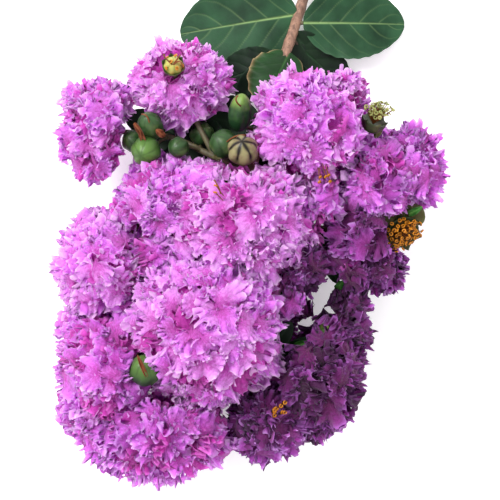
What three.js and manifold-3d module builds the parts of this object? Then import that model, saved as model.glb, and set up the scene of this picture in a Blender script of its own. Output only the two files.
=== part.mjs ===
// A cut flowering branch of a crape myrtle, lying on its side with its flower heads towards the viewer.
// Millimetres, +Z up. The branch lies on the plane Z = 0, and its cut end points along +Y.
// A brown stem runs from the flat cut to the tip of the panicle. Boughs leave it for each flower head,
// and carry the crinkled blooms, the closed buds and three flowers past their petals. Leaves sit on
// the stem.
import * as THREE from "three";
import { mergeVertices } from "three/addons/utils/BufferGeometryUtils.js";
import Module from "manifold-3d";

const wasm = await Module();
wasm.setup();

// Driving dimensions. The layout is read from the picture, where one pixel is MM_PER_PIXEL wide:
// a closed bud of about 9.3 mm spans 30 pixels, and the larger of the two big leaves, 36 mm long,
// spans 116.
const MM_PER_PIXEL = 0.31;
const ORIGIN_X = 246.84; // pixel column over the middle of the footprint
const ORIGIN_Y = 224.1; // pixel row over the middle of the footprint
const CLEARANCE = 0.3; // between neighbouring pieces
const FLOOR = 0; // the height of the surface that the branch lies on

const PETAL_LENGTH = 22; // claw and blade together
const CLAW_WIDTH = 1.4;
const CLAW_SEAT = 1.5; // from the flower's axis out to where each claw starts
const BLADE_RADIUS = 9;
const PETAL_THICKNESS = 0.5;
const PETAL_RUFFLE = 1.8; // how far the margin waves to each side
const SPREAD_RISE = 0.15; // radians above the plane square to the flower's axis
const UPRIGHT_RISE = 0.7;
const STEEP_RISE = 1.25;
const PETAL_BEND = 0.6; // radians that a petal turns outwards along its length
const PETAL_SIDES = 7; // corners of a petal's outline: two at the claw, the rest along the margin
const MARGIN_TURN = 1.95; // radians that the margin runs round the blade, each way from its tip
const PETALS = 6; // every other one stands more upright, and one of those is steep
const BLOOMS = 35;
const VIEW_BIAS = 0.12; // blooms stand a little closer together on the side that faces up
const SEAT_DEPTH = 10.5; // from the outside of a flower head down to the mouth of each calyx
const SEAT_SHARE = 0.6; // and no more than this share of the way to the head's middle

const CALYX_RADIUS = 3.1;
const CALYX_HEIGHT = 6;
const STALK_RADIUS = 0.6;
const STALK_SIDES = 4;
const NECK_DEPTH = 1.8; // a stalk ends this far inside its calyx or bud
const STALK_LEAN = 4; // a stalk meets its bough this far towards the bough's root
const LEAF_THICKNESS = 0.5;
const STEM_RADIUS = 1.75;
const LIMB_STEP = 9; // between the bends of a curved limb
const SOFT_FROM = 0.85; // share of the room round a bloom where its petals begin to be pressed back

const PALE = new THREE.MeshStandardMaterial({ color: 0xd98be6, roughness: 0.7, metalness: 0 });
const DEEP = new THREE.MeshStandardMaterial({ color: 0xb95fc8, roughness: 0.7, metalness: 0 });
const BARK = new THREE.MeshStandardMaterial({ color: 0x8a6a4f, roughness: 0.8, metalness: 0 });
const TWIG = new THREE.MeshStandardMaterial({ color: 0x6f6b3c, roughness: 0.7, metalness: 0 });
const LEAF = new THREE.MeshStandardMaterial({ color: 0x2f5a35, roughness: 0.4, metalness: 0 });
const BUD = new THREE.MeshStandardMaterial({ color: 0x5f7f3a, roughness: 0.45, metalness: 0 });
const RIPE = new THREE.MeshStandardMaterial({ color: 0xb9b283, roughness: 0.55, metalness: 0 });
const GOLD = new THREE.MeshStandardMaterial({ color: 0xd08a1e, roughness: 0.6, metalness: 0 });

// The place over a pixel of the picture, at a height above the surface.
const at = (column, row, height) =>
  new THREE.Vector3((column - ORIGIN_X) * MM_PER_PIXEL, (ORIGIN_Y - row) * MM_PER_PIXEL, height);

// The seeded rule behind all that varies: the same number from 0 to 1 for the same key.
function chance(key) {
  const wave = Math.sin(key * 12.9898 + 78.233) * 43758.5453;
  return wave - Math.floor(wave);
}
const between = (low, high, key) => low + (high - low) * chance(key);

// Solids, joined and cut as closed meshes.
function solidOf(geometry) {
  const bare = new THREE.BufferGeometry().setAttribute("position", geometry.getAttribute("position"));
  bare.setIndex(geometry.getIndex());
  const merged = mergeVertices(bare, 1e-4);
  return new wasm.Manifold(
    new wasm.Mesh({
      numProp: 3,
      vertProperties: new Float32Array(merged.attributes.position.array),
      triVerts: new Uint32Array(merged.index.array),
    }),
  );
}

function geometryOf(solid) {
  const mesh = solid.getMesh();
  const geometry = new THREE.BufferGeometry();
  geometry.setAttribute("position", new THREE.BufferAttribute(new Float32Array(mesh.vertProperties), 3));
  geometry.setIndex(new THREE.BufferAttribute(new Uint32Array(mesh.triVerts), 1));
  const faceted = geometry.toNonIndexed();
  faceted.computeVertexNormals();
  return faceted;
}

// The largest body of a solid: sealed hollows and loose scraps are left out.
const largest = (solid) =>
  solid.decompose().reduce((best, body) => (body.volume() > best.volume() ? body : best));

function apart(a, b) {
  const boxA = a.boundingBox();
  const boxB = b.boundingBox();
  return [0, 1, 2].some((k) => boxA.max[k] < boxB.min[k] || boxB.max[k] < boxA.min[k]);
}

const cutClear = (solid, others) =>
  others.reduce((left, other) => (apart(left, other) ? left : left.subtract(other)), solid);

// A limb: a cylinder bent along a curve and tapered from its root to its tip, with flat ends.
function limb(curve, rootRadius, tipRadius, grow = 0, sides = 6) {
  const steps = curve.isLineCurve3 ? 1 : Math.round(curve.getLength() / LIMB_STEP);
  const frames = curve.computeFrenetFrames(steps, false);
  const geometry = new THREE.CylinderGeometry(1, 1, 1, sides, steps);
  const position = geometry.attributes.position;
  for (let i = 0; i < position.count; i++) {
    const step = Math.round((position.getY(i) + 0.5) * steps);
    const share = step / steps;
    const radius = rootRadius + (tipRadius - rootRadius) * share + grow;
    const across = frames.normals[step].clone().multiplyScalar(position.getX(i) * radius);
    const side = new THREE.Vector3().crossVectors(frames.normals[step], frames.tangents[step]);
    const longer = step === 0 ? -grow : step === steps ? grow : 0;
    const place = curve
      .getPointAt(share)
      .add(across)
      .addScaledVector(side, position.getZ(i) * radius)
      .addScaledVector(frames.tangents[step], longer);
    position.setXYZ(i, place.x, place.y, place.z);
  }
  return solidOf(geometry);
}

// A turned form on the given axis: the profile's pairs are radius and height above the foot.
function turned(profile, sides, foot, axis) {
  const points = profile.map(([radius, height]) => new THREE.Vector2(radius, height));
  const geometry = new THREE.LatheGeometry(points, sides);
  geometry.applyQuaternion(new THREE.Quaternion().setFromUnitVectors(new THREE.Vector3(0, 1, 0), axis));
  geometry.translate(foot.x, foot.y, foot.z);
  return solidOf(geometry);
}

// A thin blade: an open surface moved half its thickness to each side, with a rim round its edge.
function thicken(surface, thickness) {
  surface.deleteAttribute("uv");
  surface.deleteAttribute("normal");
  const sheet = mergeVertices(surface, 1e-4);
  sheet.computeVertexNormals();
  const { position, normal } = sheet.attributes;
  const count = position.count;
  const corners = Array.from(sheet.index.array);
  const places = [];
  for (const side of [0.5, -0.5])
    for (let i = 0; i < count; i++) {
      const shift = side * thickness;
      places.push(
        position.getX(i) + normal.getX(i) * shift,
        position.getY(i) + normal.getY(i) * shift,
        position.getZ(i) + normal.getZ(i) * shift,
      );
    }
  const edges = new Set();
  const faces = [];
  for (let i = 0; i < corners.length; i += 3) {
    const [a, b, c] = corners.slice(i, i + 3);
    faces.push(a, b, c, a + count, c + count, b + count);
    for (const [from, to] of [[a, b], [b, c], [c, a]])
      if (!edges.delete(`${to},${from}`)) edges.add(`${from},${to}`);
  }
  for (const edge of edges) {
    const [from, to] = edge.split(",").map(Number);
    faces.push(from, from + count, to, to, from + count, to + count);
  }
  const closed = new THREE.BufferGeometry();
  closed.setAttribute("position", new THREE.BufferAttribute(new Float32Array(places), 3));
  closed.setIndex(faces);
  return solidOf(closed);
}

// Limbs. Each is named, and given by the curve it follows and its radius at root and tip.
const LIMBS = [
  [
    "main_stem",
    [
      [313, -36, 3.35],
      [301, 5, 7],
      [291, 36, 12.5],
      [268, 105, 25],
      [238, 230, 34],
      [205, 335, 34],
      [172, 418, 27],
    ],
    STEM_RADIUS,
    0.9,
  ],
  ["left_bough", [[254, 170, 30], [215, 157, 33], [170, 137, 29], [100, 130, 27]], 1.1, 0.75],
  ["upper_left_bough", [[215, 157, 33], [198, 125, 31], [182, 92, 29]], 0.9, 0.7],
  ["right_bough", [[262, 130, 28], [312, 132, 33], [370, 165, 29], [406, 169, 26]], 1.1, 0.75],
  ["right_lower_bough", [[244, 205, 33.5], [300, 222, 30], [354, 238, 26]], 1.1, 0.75],
  ["shoulder_bough", [[238, 230, 34], [195, 213, 34], [152, 212, 32], [112, 266, 29]], 1.1, 0.75],
  ["flank_bough", [[218, 295, 34.5], [165, 335, 31], [115, 368, 28]], 1.1, 0.75],
  ["lower_right_bough", [[205, 335, 34], [265, 360, 29], [320, 370, 26]], 1.1, 0.75],
].map(([name, path, rootRadius, tipRadius]) => {
  const curve = new THREE.CatmullRomCurve3(path.map((place) => at(...place)));
  return { name, curve, rootRadius, tipRadius, solid: limb(curve, rootRadius, tipRadius) };
});

const bough = (name) => LIMBS.find((one) => one.name === name);
const grownLimb = (one) => limb(one.curve, one.rootRadius, one.tipRadius, CLEARANCE);

// Flower heads: the middle (column, row, height), the radii, and the limb that carries them. Each
// head is an ellipsoid, and the blooms stand evenly over the outside of all of them together.
const HEADS = [
  ["far_left", [98, 131, 27], [13.5, 17.5, 14.5], "left_bough"],
  ["upper_left", [181, 84, 29], [16.5, 14.5, 14.5], "upper_left_bough"],
  ["upper_right", [309, 131, 33], [21.5, 20.5, 21], "right_bough"],
  ["joint", [376, 184, 29], [14, 16, 17], "right_bough"],
  ["far_right", [409, 168, 26], [12, 14.5, 14], "right_bough"],
  ["right", [362, 240, 26], [16, 18, 20], "right_lower_bough"],
  ["bridge", [299, 268, 27], [11.5, 15, 21], "right_lower_bough"],
  ["shoulder", [164, 207, 32], [18, 17, 24], "shoulder_bough"],
  ["left", [110, 270, 29], [18, 18.5, 25], "shoulder_bough"],
  ["middle", [238, 222, 33], [27, 23.5, 31], "main_stem"],
  ["flank", [114, 368, 28], [18, 25, 26], "flank_bough"],
  ["heart", [205, 325, 34], [29, 27, 33], "main_stem"],
  ["tip", [158, 430, 27], [26, 17.5, 26], "main_stem"],
  ["low", [266, 420, 24], [14, 15, 19], "lower_right_bough"],
  ["lower_right", [317, 365, 26], [15.5, 23.5, 25], "lower_right_bough"],
].map(([name, middle, radii, carrier]) => ({
  name,
  middle: at(...middle),
  radii: new THREE.Vector3(...radii),
  carrier: bough(carrier),
}));

// How far out a place lies in a head: 1 is on its outside.
const within = (head, place) => place.clone().sub(head.middle).divide(head.radii).length();

// Likely places for blooms: a spiral of points over each head, less those inside another head.
const GOLDEN_ANGLE = Math.PI * (3 - Math.sqrt(5));
const CANDIDATES = 240; // on each head
const places = HEADS.flatMap((head) =>
  Array.from({ length: CANDIDATES }, (_, i) => {
    const rise = 1 - (2 * i + 1) / CANDIDATES;
    const level = Math.sqrt(1 - rise * rise);
    const angle = GOLDEN_ANGLE * i;
    const out = new THREE.Vector3(level * Math.cos(angle), level * Math.sin(angle), rise);
    return { head, out, face: out.clone().multiply(head.radii).add(head.middle) };
  }),
).filter(({ head, face }) => HEADS.every((other) => other === head || within(other, face) > 1));

// The blooms: first the highest place of each head, then each time the place farthest from those taken.
const chosen = HEADS.map((head) =>
  places.filter((one) => one.head === head).reduce((best, one) => (one.face.z > best.face.z ? one : best)),
);
while (chosen.length < BLOOMS) {
  const room = places.map(
    ({ face, out }) =>
      (1 + VIEW_BIAS * out.z) * Math.min(...chosen.map((taken) => taken.face.distanceTo(face))),
  );
  chosen.push(places[room.indexOf(Math.max(...room))]);
}
const blooms = chosen.map(({ head, out, face }, i) => {
  const axis = out.clone().divide(head.radii).normalize();
  const depth = Math.min(SEAT_DEPTH, SEAT_SHARE * face.distanceTo(head.middle));
  const seat = face.clone().addScaledVector(axis, -depth);
  return { kind: "bloom", name: `bloom_${i + 1}_${head.name}`, seat, axis, head, key: 100 * (i + 1) };
});

// Buds and bare calyces: the middle, the radius, the way it faces, the limb and the finish.
const BUDS = [
  ["ripe_bud", [243, 152, 46], 4.7, [-0.05, 0.5, 0.86], "left_bough", RIPE],
  ["bud_beside_ripe", [224, 145, 39], 4.5, [-0.5, 0.5, 0.7], "left_bough", BUD],
  ["bud_above_ripe", [240, 114, 37], 4.8, [0.1, 0.85, 0.5], "right_bough", BUD],
  ["bud_upper_left", [151, 127, 38], 4.4, [-0.2, 0.6, 0.8], "left_bough", BUD],
  ["bud_lower_left", [147, 152, 40], 4.6, [-0.3, -0.3, 0.9], "left_bough", BUD],
  ["bud_behind_left", [133, 141, 30], 3.5, [-0.5, 0.3, 0.8], "left_bough", BUD],
  ["bud_back_pale", [202, 134, 27], 3.8, [0.2, 0.5, 0.8], "left_bough", BUD],
  ["bud_back_olive", [179, 148, 38], 3.2, [-0.6, -0.3, 0.7], "left_bough", BUD],
  ["bud_in_recess", [147, 368, 50], 4.8, [0.1, 0.75, 0.65], "flank_bough", BUD],
].map(([name, middle, radius, axis, carrier, finish]) => {
  const facing = new THREE.Vector3(...axis).normalize();
  return { kind: "bud", name, middle: at(...middle), radius, axis: facing, carrier: bough(carrier), finish };
});

// Flowers past their petals: an open calyx that holds a tuft of stamens.
const SPENT = [
  ["stamens_upper_left", [174, 68, 43], 3.4, [0.1, 0.3, 0.95], "upper_left_bough"],
  ["stamens_upper_right", [373, 122, 40], 3.9, [0.3, 0.85, 0.45], "right_bough"],
  ["stamens_right", [403, 232, 33], 5.2, [0.35, -0.35, 0.85], "right_lower_bough"],
].map(([name, middle, radius, axis, carrier]) => {
  const facing = new THREE.Vector3(...axis).normalize();
  const finish = GOLD;
  return { kind: "spent", name, middle: at(...middle), radius, axis: facing, carrier: bough(carrier), finish };
});

// Each flower and bud keeps to its own room. A plane stands between each two neighbours: half way
// between two blooms, and just clear of a bud beside a bloom.
const SITES = [...blooms, ...BUDS, ...SPENT];
for (const site of SITES) site.middle = site.kind === "bloom" ? site.seat : site.middle;
const tight = (site) => site.kind !== "bloom";

function wallsOf(site) {
  return SITES.filter((other) => other !== site).map((other) => {
    const towards = other.middle.clone().sub(site.middle);
    const gap = towards.length();
    let distance = gap / 2;
    if (tight(site) && !tight(other)) distance = Math.max(distance * 0.2, site.radius * 1.25 + CLEARANCE);
    if (!tight(site) && tight(other)) distance = gap - Math.max(gap * 0.1, other.radius * 1.25 + CLEARANCE);
    return { normal: towards.normalize(), distance };
  });
}

// Where a line from a bloom's seat comes out of the flower heads, which it may pass through in turn.
function outsideAlong({ seat, head }, direction) {
  let reach = 0;
  for (const one of [head, ...HEADS, ...HEADS]) {
    const start = seat.clone().sub(one.middle).divide(one.radii);
    const run = direction.clone().divide(one.radii);
    const a = run.lengthSq();
    const b = start.dot(run);
    const inside = b * b - a * (start.lengthSq() - 1);
    if (inside <= 0) continue;
    const enters = (-b - Math.sqrt(inside)) / a;
    const leaves = (-b + Math.sqrt(inside)) / a;
    if (enters <= reach) reach = Math.max(reach, leaves);
  }
  return reach;
}

// How far the room of a bloom reaches from its seat in a direction: to the nearest wall, to the
// outside of its flower head, or to the surface that the branch lies on.
function reachOf(site, walls, direction) {
  const margin = CLEARANCE / 2 + PETAL_THICKNESS / 2 + 0.05;
  let reach = Infinity;
  for (const { normal, distance } of walls) {
    const facing = direction.dot(normal);
    if (facing > 1e-6) reach = Math.min(reach, (distance - margin) / facing);
  }
  if (direction.z < -1e-6)
    reach = Math.min(reach, (site.seat.z - FLOOR - PETAL_THICKNESS / 2) / -direction.z);
  return Math.min(reach, outsideAlong(site, direction));
}

// Presses a point back into the bloom's room: unchanged near the seat, and ever closer to the wall
// but never past it further out.
function press(site, walls, place) {
  const offset = place.clone().sub(site.seat);
  const length = offset.length();
  if (length < 1e-6) return place;
  const direction = offset.divideScalar(length);
  const reach = reachOf(site, walls, direction);
  const share = length / reach;
  const rest = 1 - SOFT_FROM;
  const kept = share < SOFT_FROM ? share : SOFT_FROM + rest * Math.tanh((share - SOFT_FROM) / rest);
  return site.seat.clone().addScaledVector(direction, reach * kept);
}

// One petal: a narrow claw that widens to a round blade with a ruffled margin. It leaves the
// calyx at the given azimuth and rise, and turns outwards along its length.
function petal(site, walls, azimuth, rise, length, key) {
  const { axis, seat } = site;
  const east = new THREE.Vector3(0, 0, 1).cross(axis);
  if (east.lengthSq() < 1e-6) east.set(1, 0, 0);
  east.normalize();
  const north = new THREE.Vector3().crossVectors(axis, east);
  const outward = east.clone().multiplyScalar(Math.cos(azimuth)).addScaledVector(north, Math.sin(azimuth));
  const side = new THREE.Vector3().crossVectors(axis, outward);
  const scale = length / PETAL_LENGTH;
  const place = (along, across, lift) => {
    const turnBack = (0.5 * PETAL_BEND * along * along) / length;
    const out = CLAW_SEAT + along * Math.cos(rise) + turnBack * Math.sin(rise) - lift * Math.sin(rise);
    const up = along * Math.sin(rise) - turnBack * Math.cos(rise) + lift * Math.cos(rise);
    return seat.clone().addScaledVector(outward, out).addScaledVector(side, across).addScaledVector(axis, up);
  };
  const radius = BLADE_RADIUS * scale;
  const blade = length - radius;
  const disc = new THREE.CircleGeometry(1, PETAL_SIDES).deleteAttribute("uv").deleteAttribute("normal");
  const surface = mergeVertices(disc, 1e-4);
  const position = surface.attributes.position;
  for (let i = 0; i < position.count; i++) {
    const x = position.getX(i);
    const y = position.getY(i);
    const onRim = x * x + y * y > 0.5;
    const corner = Math.round((Math.atan2(y, x) / (2 * Math.PI) + 1) * PETAL_SIDES) % PETAL_SIDES;
    let spot = place(blade * 0.95, 0, 1.2 * scale);
    if (onRim) {
      const angle = MARGIN_TURN * ((2 * (corner - 1)) / (PETAL_SIDES - 3) - 1);
      const atClaw = corner === 0 || corner === PETAL_SIDES - 1;
      const wave = (corner % 2 ? 1 : -1) * PETAL_RUFFLE * scale * between(0.6, 1.3, key + 3 * corner);
      const rim = radius * between(0.85, 1.12, key + 3 * corner + 1);
      spot = atClaw
        ? place(0, (corner ? 0.5 : -0.5) * CLAW_WIDTH, 0)
        : place(blade + rim * Math.cos(angle), rim * 1.08 * Math.sin(angle), wave);
    }
    const pressed = press(site, walls, spot);
    position.setXYZ(i, pressed.x, pressed.y, pressed.z);
  }
  return thicken(surface, PETAL_THICKNESS);
}

// The stalk under a flower or bud runs from the nearest place on its limb to its neck, leaning
// towards the limb's root. It starts as close to the limb as the clearance allows.
function stalkCurve(neck, { curve, solid }) {
  const samples = 80;
  const away = (share) => curve.getPointAt(share).distanceTo(neck);
  let share = 0;
  for (let i = 0; i <= samples; i++) if (away(i / samples) < away(share)) share = i / samples;
  const root = curve.getPointAt(Math.max(0, share - STALK_LEAN / curve.getLength()));
  const from = (part) => new THREE.LineCurve3(root.clone().lerp(neck, part), neck);
  let near = 0;
  let far = 1;
  for (let round = 0; round < 9; round++) {
    const middle = (near + far) / 2;
    const gap = limb(from(middle), STALK_RADIUS, STALK_RADIUS, 0, STALK_SIDES).minGap(solid, 1);
    if (gap < CLEARANCE) near = middle;
    else far = middle;
  }
  return from(far);
}

const CALYX_PROFILE = [
  [0, 0],
  [0.8 * CALYX_RADIUS, 0.3 * CALYX_HEIGHT],
  [CALYX_RADIUS, CALYX_HEIGHT],
  [0, CALYX_HEIGHT],
];
const CALYX_RIDGES = 6;

// The foot of a calyx or bud, and the place inside it where its stalk ends.
const footOf = (site) =>
  site.kind === "bloom"
    ? site.seat.clone().addScaledVector(site.axis, 1 - CALYX_HEIGHT)
    : site.middle.clone().addScaledVector(site.axis, -site.radius);
const neckOf = (site) => footOf(site).addScaledVector(site.axis, NECK_DEPTH);
const carrierOf = (site) => (site.kind === "bloom" ? site.head.carrier : site.carrier);

function bloomBody(site, walls) {
  const parts = [turned(CALYX_PROFILE, CALYX_RIDGES, footOf(site), site.axis)];
  for (let i = 0; i < PETALS; i++) {
    const key = site.key + 30 * i;
    const azimuth = ((i + between(-0.15, 0.15, key + 25)) * 2 * Math.PI) / PETALS + site.key;
    const standing = i === 1 ? STEEP_RISE : UPRIGHT_RISE;
    const rise = (i % 2 ? standing : SPREAD_RISE) + between(-0.12, 0.12, key + 26);
    parts.push(petal(site, walls, azimuth, rise, PETAL_LENGTH * between(0.9, 1.05, key + 27), key));
  }
  return wasm.Manifold.union(parts);
}

// A closed bud: six ridges run up a ball to a short point.
function budBody({ middle, radius, axis }) {
  const profile = [
    [0, 0],
    [0.55, 0.12],
    [0.97, 0.65],
    [0.98, 1.25],
    [0.6, 1.8],
    [0, 2.08],
  ].map(([across, up]) => [across * radius, up * radius]);
  return turned(profile, 8, middle.clone().addScaledVector(axis, -radius), axis);
}

// An open calyx, and the rounded tuft of stamens in its mouth.
function spentBody({ middle, radius, axis }) {
  const profile = [
    [0, 0],
    [0.45, 0.1],
    [0.8, 0.75],
    [0.72, 1],
    [0.98, 1.3],
    [0.8, 1.8],
    [0, 2.05],
  ].map(([across, up]) => [across * radius, up * radius]);
  return turned(profile, 8, middle.clone().addScaledVector(axis, -radius), axis);
}

// A leaf: broad and elliptic, folded a little along its midrib, with a wavy margin. It is given
// by its foot, its tip, its width, and how far it arches up and cups across.
const LEAVES = [
  ["leaf_large_left", [297, 13, 8.5], [181, 36, 2.4], 27, 3.5, 1.5, 1],
  ["leaf_large_right", [303, 22, 10], [404, 25, 2.6], 23.5, 3, 1.5, 2],
  ["leaf_small_folded", [287, 50, 15], [257, 99, 26], 12, 2, -2.2, 3],
  ["leaf_back_left", [283, 58, 14], [216, 78, 7], 15, 2, 1, 4],
  ["leaf_back_right", [296, 38, 10], [352, 88, 3], 15, 0.5, 1, 5],
].map(([name, foot, tip, width, arch, cup, seed]) => ({
  name,
  foot: at(...foot),
  tip: at(...tip),
  width,
  arch,
  cup,
  seed,
}));

function leafBody({ foot, tip, width, arch, cup, seed }, grow = 0) {
  const along = tip.clone().sub(foot);
  const length = along.length();
  along.normalize();
  const across = new THREE.Vector3(0, 0, 1).cross(along).normalize();
  const up = new THREE.Vector3().crossVectors(along, across);
  const surface = new THREE.PlaneGeometry(1, 1, 8, 4);
  const position = surface.attributes.position;
  for (let i = 0; i < position.count; i++) {
    const u = position.getX(i) + 0.5;
    const v = 2 * position.getY(i);
    const outline = Math.sin(Math.PI * u) ** 0.62;
    const half = 0.5 * width * Math.max(0.05, outline) + grow;
    const wave = 0.5 * Math.sin(11 * u + 2 * seed + 2 * Math.sign(v)) * Math.abs(v) * outline;
    const lift = arch * Math.sin(Math.PI * u) + cup * v * v * outline + wave;
    const place = foot
      .clone()
      .addScaledVector(along, u * (length + 2 * grow) - grow)
      .addScaledVector(across, v * half)
      .addScaledVector(up, lift);
    position.setXYZ(i, place.x, place.y, Math.max(place.z, FLOOR + LEAF_THICKNESS / 2 + grow));
  }
  return thicken(surface, LEAF_THICKNESS + 2 * grow);
}

// Assembly. Limbs come first, and what comes later is cut clear of what is there.
const pieces = [];
const add = (name, solid, material) => pieces.push({ name, solid, material });

const grownLimbs = [];
for (const one of LIMBS) {
  add(one.name, largest(cutClear(one.solid, grownLimbs)), one.name === "main_stem" ? BARK : TWIG);
  grownLimbs.push(grownLimb(one));
}

const grownLeaves = [];
for (const leaf of LEAVES) {
  add(leaf.name, largest(cutClear(leafBody(leaf), [...grownLimbs, ...grownLeaves])), LEAF);
  grownLeaves.push(leafBody(leaf, CLEARANCE));
}

const stalkCurves = SITES.map((site) => stalkCurve(neckOf(site), carrierOf(site)));
const stalks = stalkCurves.map((curve) => limb(curve, STALK_RADIUS, STALK_RADIUS, 0, STALK_SIDES));
const grownStalks = stalkCurves.map((curve) => limb(curve, STALK_RADIUS, STALK_RADIUS, CLEARANCE, STALK_SIDES));
SITES.forEach((site, i) => {
  const walls = wallsOf(site);
  const make = { bloom: bloomBody, bud: budBody, spent: spentBody }[site.kind];
  let body = make(site, walls);
  for (const { normal, distance } of walls)
    if (distance < 2 * PETAL_LENGTH) {
      const offset = site.middle.dot(normal) + distance - CLEARANCE / 2;
      body = body.trimByPlane([-normal.x, -normal.y, -normal.z], -offset);
    }
  body = cutClear(body, grownStalks.filter((_, j) => j !== i));
  const stalk = cutClear(stalks[i], grownStalks.slice(0, i));
  const whole = cutClear(body.add(stalk), [...grownLimbs, ...grownLeaves]);
  add(site.name, largest(whole), site.finish ?? (chance(site.key) > 0.5 ? PALE : DEEP));
});

// The lowest point of the whole branch comes down to the surface.
const lowest = Math.min(...pieces.map(({ solid }) => solid.boundingBox().min[2]));
const branch = new THREE.Group();
for (const { name, solid, material } of pieces) {
  const mesh = new THREE.Mesh(geometryOf(solid.translate([0, 0, FLOOR - lowest])), material.clone());
  mesh.name = name;
  branch.add(mesh);
}

export default branch;
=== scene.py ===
import math

import bpy
import numpy as np
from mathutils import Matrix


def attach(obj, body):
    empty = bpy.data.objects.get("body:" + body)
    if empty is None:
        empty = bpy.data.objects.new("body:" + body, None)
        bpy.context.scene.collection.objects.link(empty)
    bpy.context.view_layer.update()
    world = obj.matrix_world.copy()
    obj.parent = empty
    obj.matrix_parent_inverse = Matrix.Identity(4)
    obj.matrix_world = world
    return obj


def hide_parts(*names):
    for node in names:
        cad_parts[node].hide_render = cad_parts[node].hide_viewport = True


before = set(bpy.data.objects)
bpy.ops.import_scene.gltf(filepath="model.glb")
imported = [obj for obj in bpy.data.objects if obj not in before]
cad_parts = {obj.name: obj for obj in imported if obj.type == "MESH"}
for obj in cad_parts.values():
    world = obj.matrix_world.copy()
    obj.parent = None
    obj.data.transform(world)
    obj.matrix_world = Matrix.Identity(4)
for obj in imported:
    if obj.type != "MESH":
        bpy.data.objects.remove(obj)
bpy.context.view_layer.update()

# The surface, the light and the camera.
# The branch lies on a white table under one large soft lamp at its upper left, with white walls
# all round. The camera hangs straight above it. Sizes in this section are metres.
LENS_HEIGHT = 1.0
SHARP_HEIGHT = 0.03  # the height at which one pixel of the picture is 0.31 mm wide
FRAME_WIDTH = 500 * 0.31e-3
SENSOR = 36.0
AIM = (0.98e-3, -8.03e-3)
TABLE_HALF = 1.5
LAMP_PLACE = (-0.55, 0.5, 0.95)
LAMP_WIDTH = 0.6
LAMP_POWER = 16.0
WALL_LIGHT = 1.3


def put_together(name, places, faces, maps=None, values=None):
    """A mesh object at the origin: places are points in metres, and each array in faces holds the
    corner numbers of faces with the same number of corners. maps gives two numbers a point for a
    UV map, values one number a point for an attribute."""
    mesh = bpy.data.meshes.new(name)
    corners = np.concatenate([rows.ravel() for rows in faces])
    sizes = np.concatenate([np.full(len(rows), rows.shape[1]) for rows in faces])
    mesh.vertices.add(len(places))
    mesh.vertices.foreach_set("co", np.ascontiguousarray(places, np.float32).ravel())
    mesh.loops.add(len(corners))
    mesh.loops.foreach_set("vertex_index", corners.astype(np.int32))
    mesh.polygons.add(len(sizes))
    mesh.polygons.foreach_set("loop_start", (np.cumsum(sizes) - sizes).astype(np.int32))
    mesh.polygons.foreach_set("use_smooth", np.ones(len(sizes), bool))
    for key, pairs in (maps or {}).items():
        layer = mesh.uv_layers.new(name=key)
        layer.data.foreach_set("uv", pairs[corners].astype(np.float32).ravel())
    for key, numbers in (values or {}).items():
        mesh.attributes.new(key, "FLOAT", "POINT").data.foreach_set("value", numbers.astype(np.float32))
    mesh.update(calc_edges=True)
    mesh.validate()
    piece = bpy.data.objects.new(name, mesh)
    bpy.context.collection.objects.link(piece)
    return piece


def node(tree, kind, inputs=None, **settings):
    """Adds a shader node: settings are its own properties, and inputs are values or other sockets."""
    made = tree.nodes.new("ShaderNode" + kind)
    for key, value in settings.items():
        setattr(made, key, value)
    for key, value in (inputs or {}).items():
        if isinstance(value, bpy.types.NodeSocket):
            tree.links.new(value, made.inputs[key])
        else:
            made.inputs[key].default_value = value
    return made


def new_finish(name):
    """A material with an empty tree, and what its shader goes into."""
    material = bpy.data.materials.new(name)
    material.use_nodes = True
    material.node_tree.nodes.clear()
    output = material.node_tree.nodes.new("ShaderNodeOutputMaterial")
    return material, material.node_tree, output.inputs[0]


def colour(code):
    """The linear colour of a six-figure screen code."""
    screen = np.array([int(code[k : k + 2], 16) / 255 for k in (0, 2, 4)])
    linear = np.where(screen <= 0.04045, screen / 12.92, ((screen + 0.055) / 1.055) ** 2.4)
    return (*linear.tolist(), 1.0)


table_edge = np.array([[-1, -1], [1, -1], [1, 1], [-1, 1]]) * TABLE_HALF
table_top = put_together(
    "table_top", np.column_stack([table_edge, np.zeros(4)]), [np.array([[0, 1, 2, 3]])]
)
table_white, tree, output = new_finish("table_white")
card = node(
    tree,
    "BsdfPrincipled",
    {
        "Base Color": (0.94, 0.94, 0.94, 1),
        "Roughness": 0.9,
        "Specular IOR Level": 0.1,
        "Emission Color": (1, 1, 1, 1),
        "Emission Strength": 0.3,
    },
)
tree.links.new(card.outputs[0], output)
table_top.data.materials.append(table_white)


window_light = bpy.data.lights.new("window", "AREA")
window_light.shape = "DISK"
window_light.size = LAMP_WIDTH
window_light.energy = LAMP_POWER
window = bpy.data.objects.new("window", window_light)
window.location = LAMP_PLACE
away = np.array(LAMP_PLACE) - [*AIM, SHARP_HEIGHT]
window.rotation_euler = (math.atan2(math.hypot(*away[:2]), away[2]), 0, math.atan2(away[0], -away[1]))
bpy.context.collection.objects.link(window)

surroundings = bpy.data.worlds.new("white_room")
surroundings.use_nodes = True
walls = surroundings.node_tree.nodes["Background"]
walls.inputs["Color"].default_value = (1, 1, 1, 1)
walls.inputs["Strength"].default_value = WALL_LIGHT
bpy.context.scene.world = surroundings
bpy.context.scene.view_settings.view_transform = "Standard"

lens = bpy.data.cameras.new("camera")
lens.type = "PERSP"
lens.sensor_width = SENSOR
lens.lens = SENSOR * (LENS_HEIGHT - SHARP_HEIGHT) / FRAME_WIDTH
lens.clip_start = 0.01
camera = bpy.data.objects.new("camera", lens)
camera.location = (*AIM, LENS_HEIGHT)
bpy.context.collection.objects.link(camera)
bpy.context.scene.camera = camera

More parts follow.
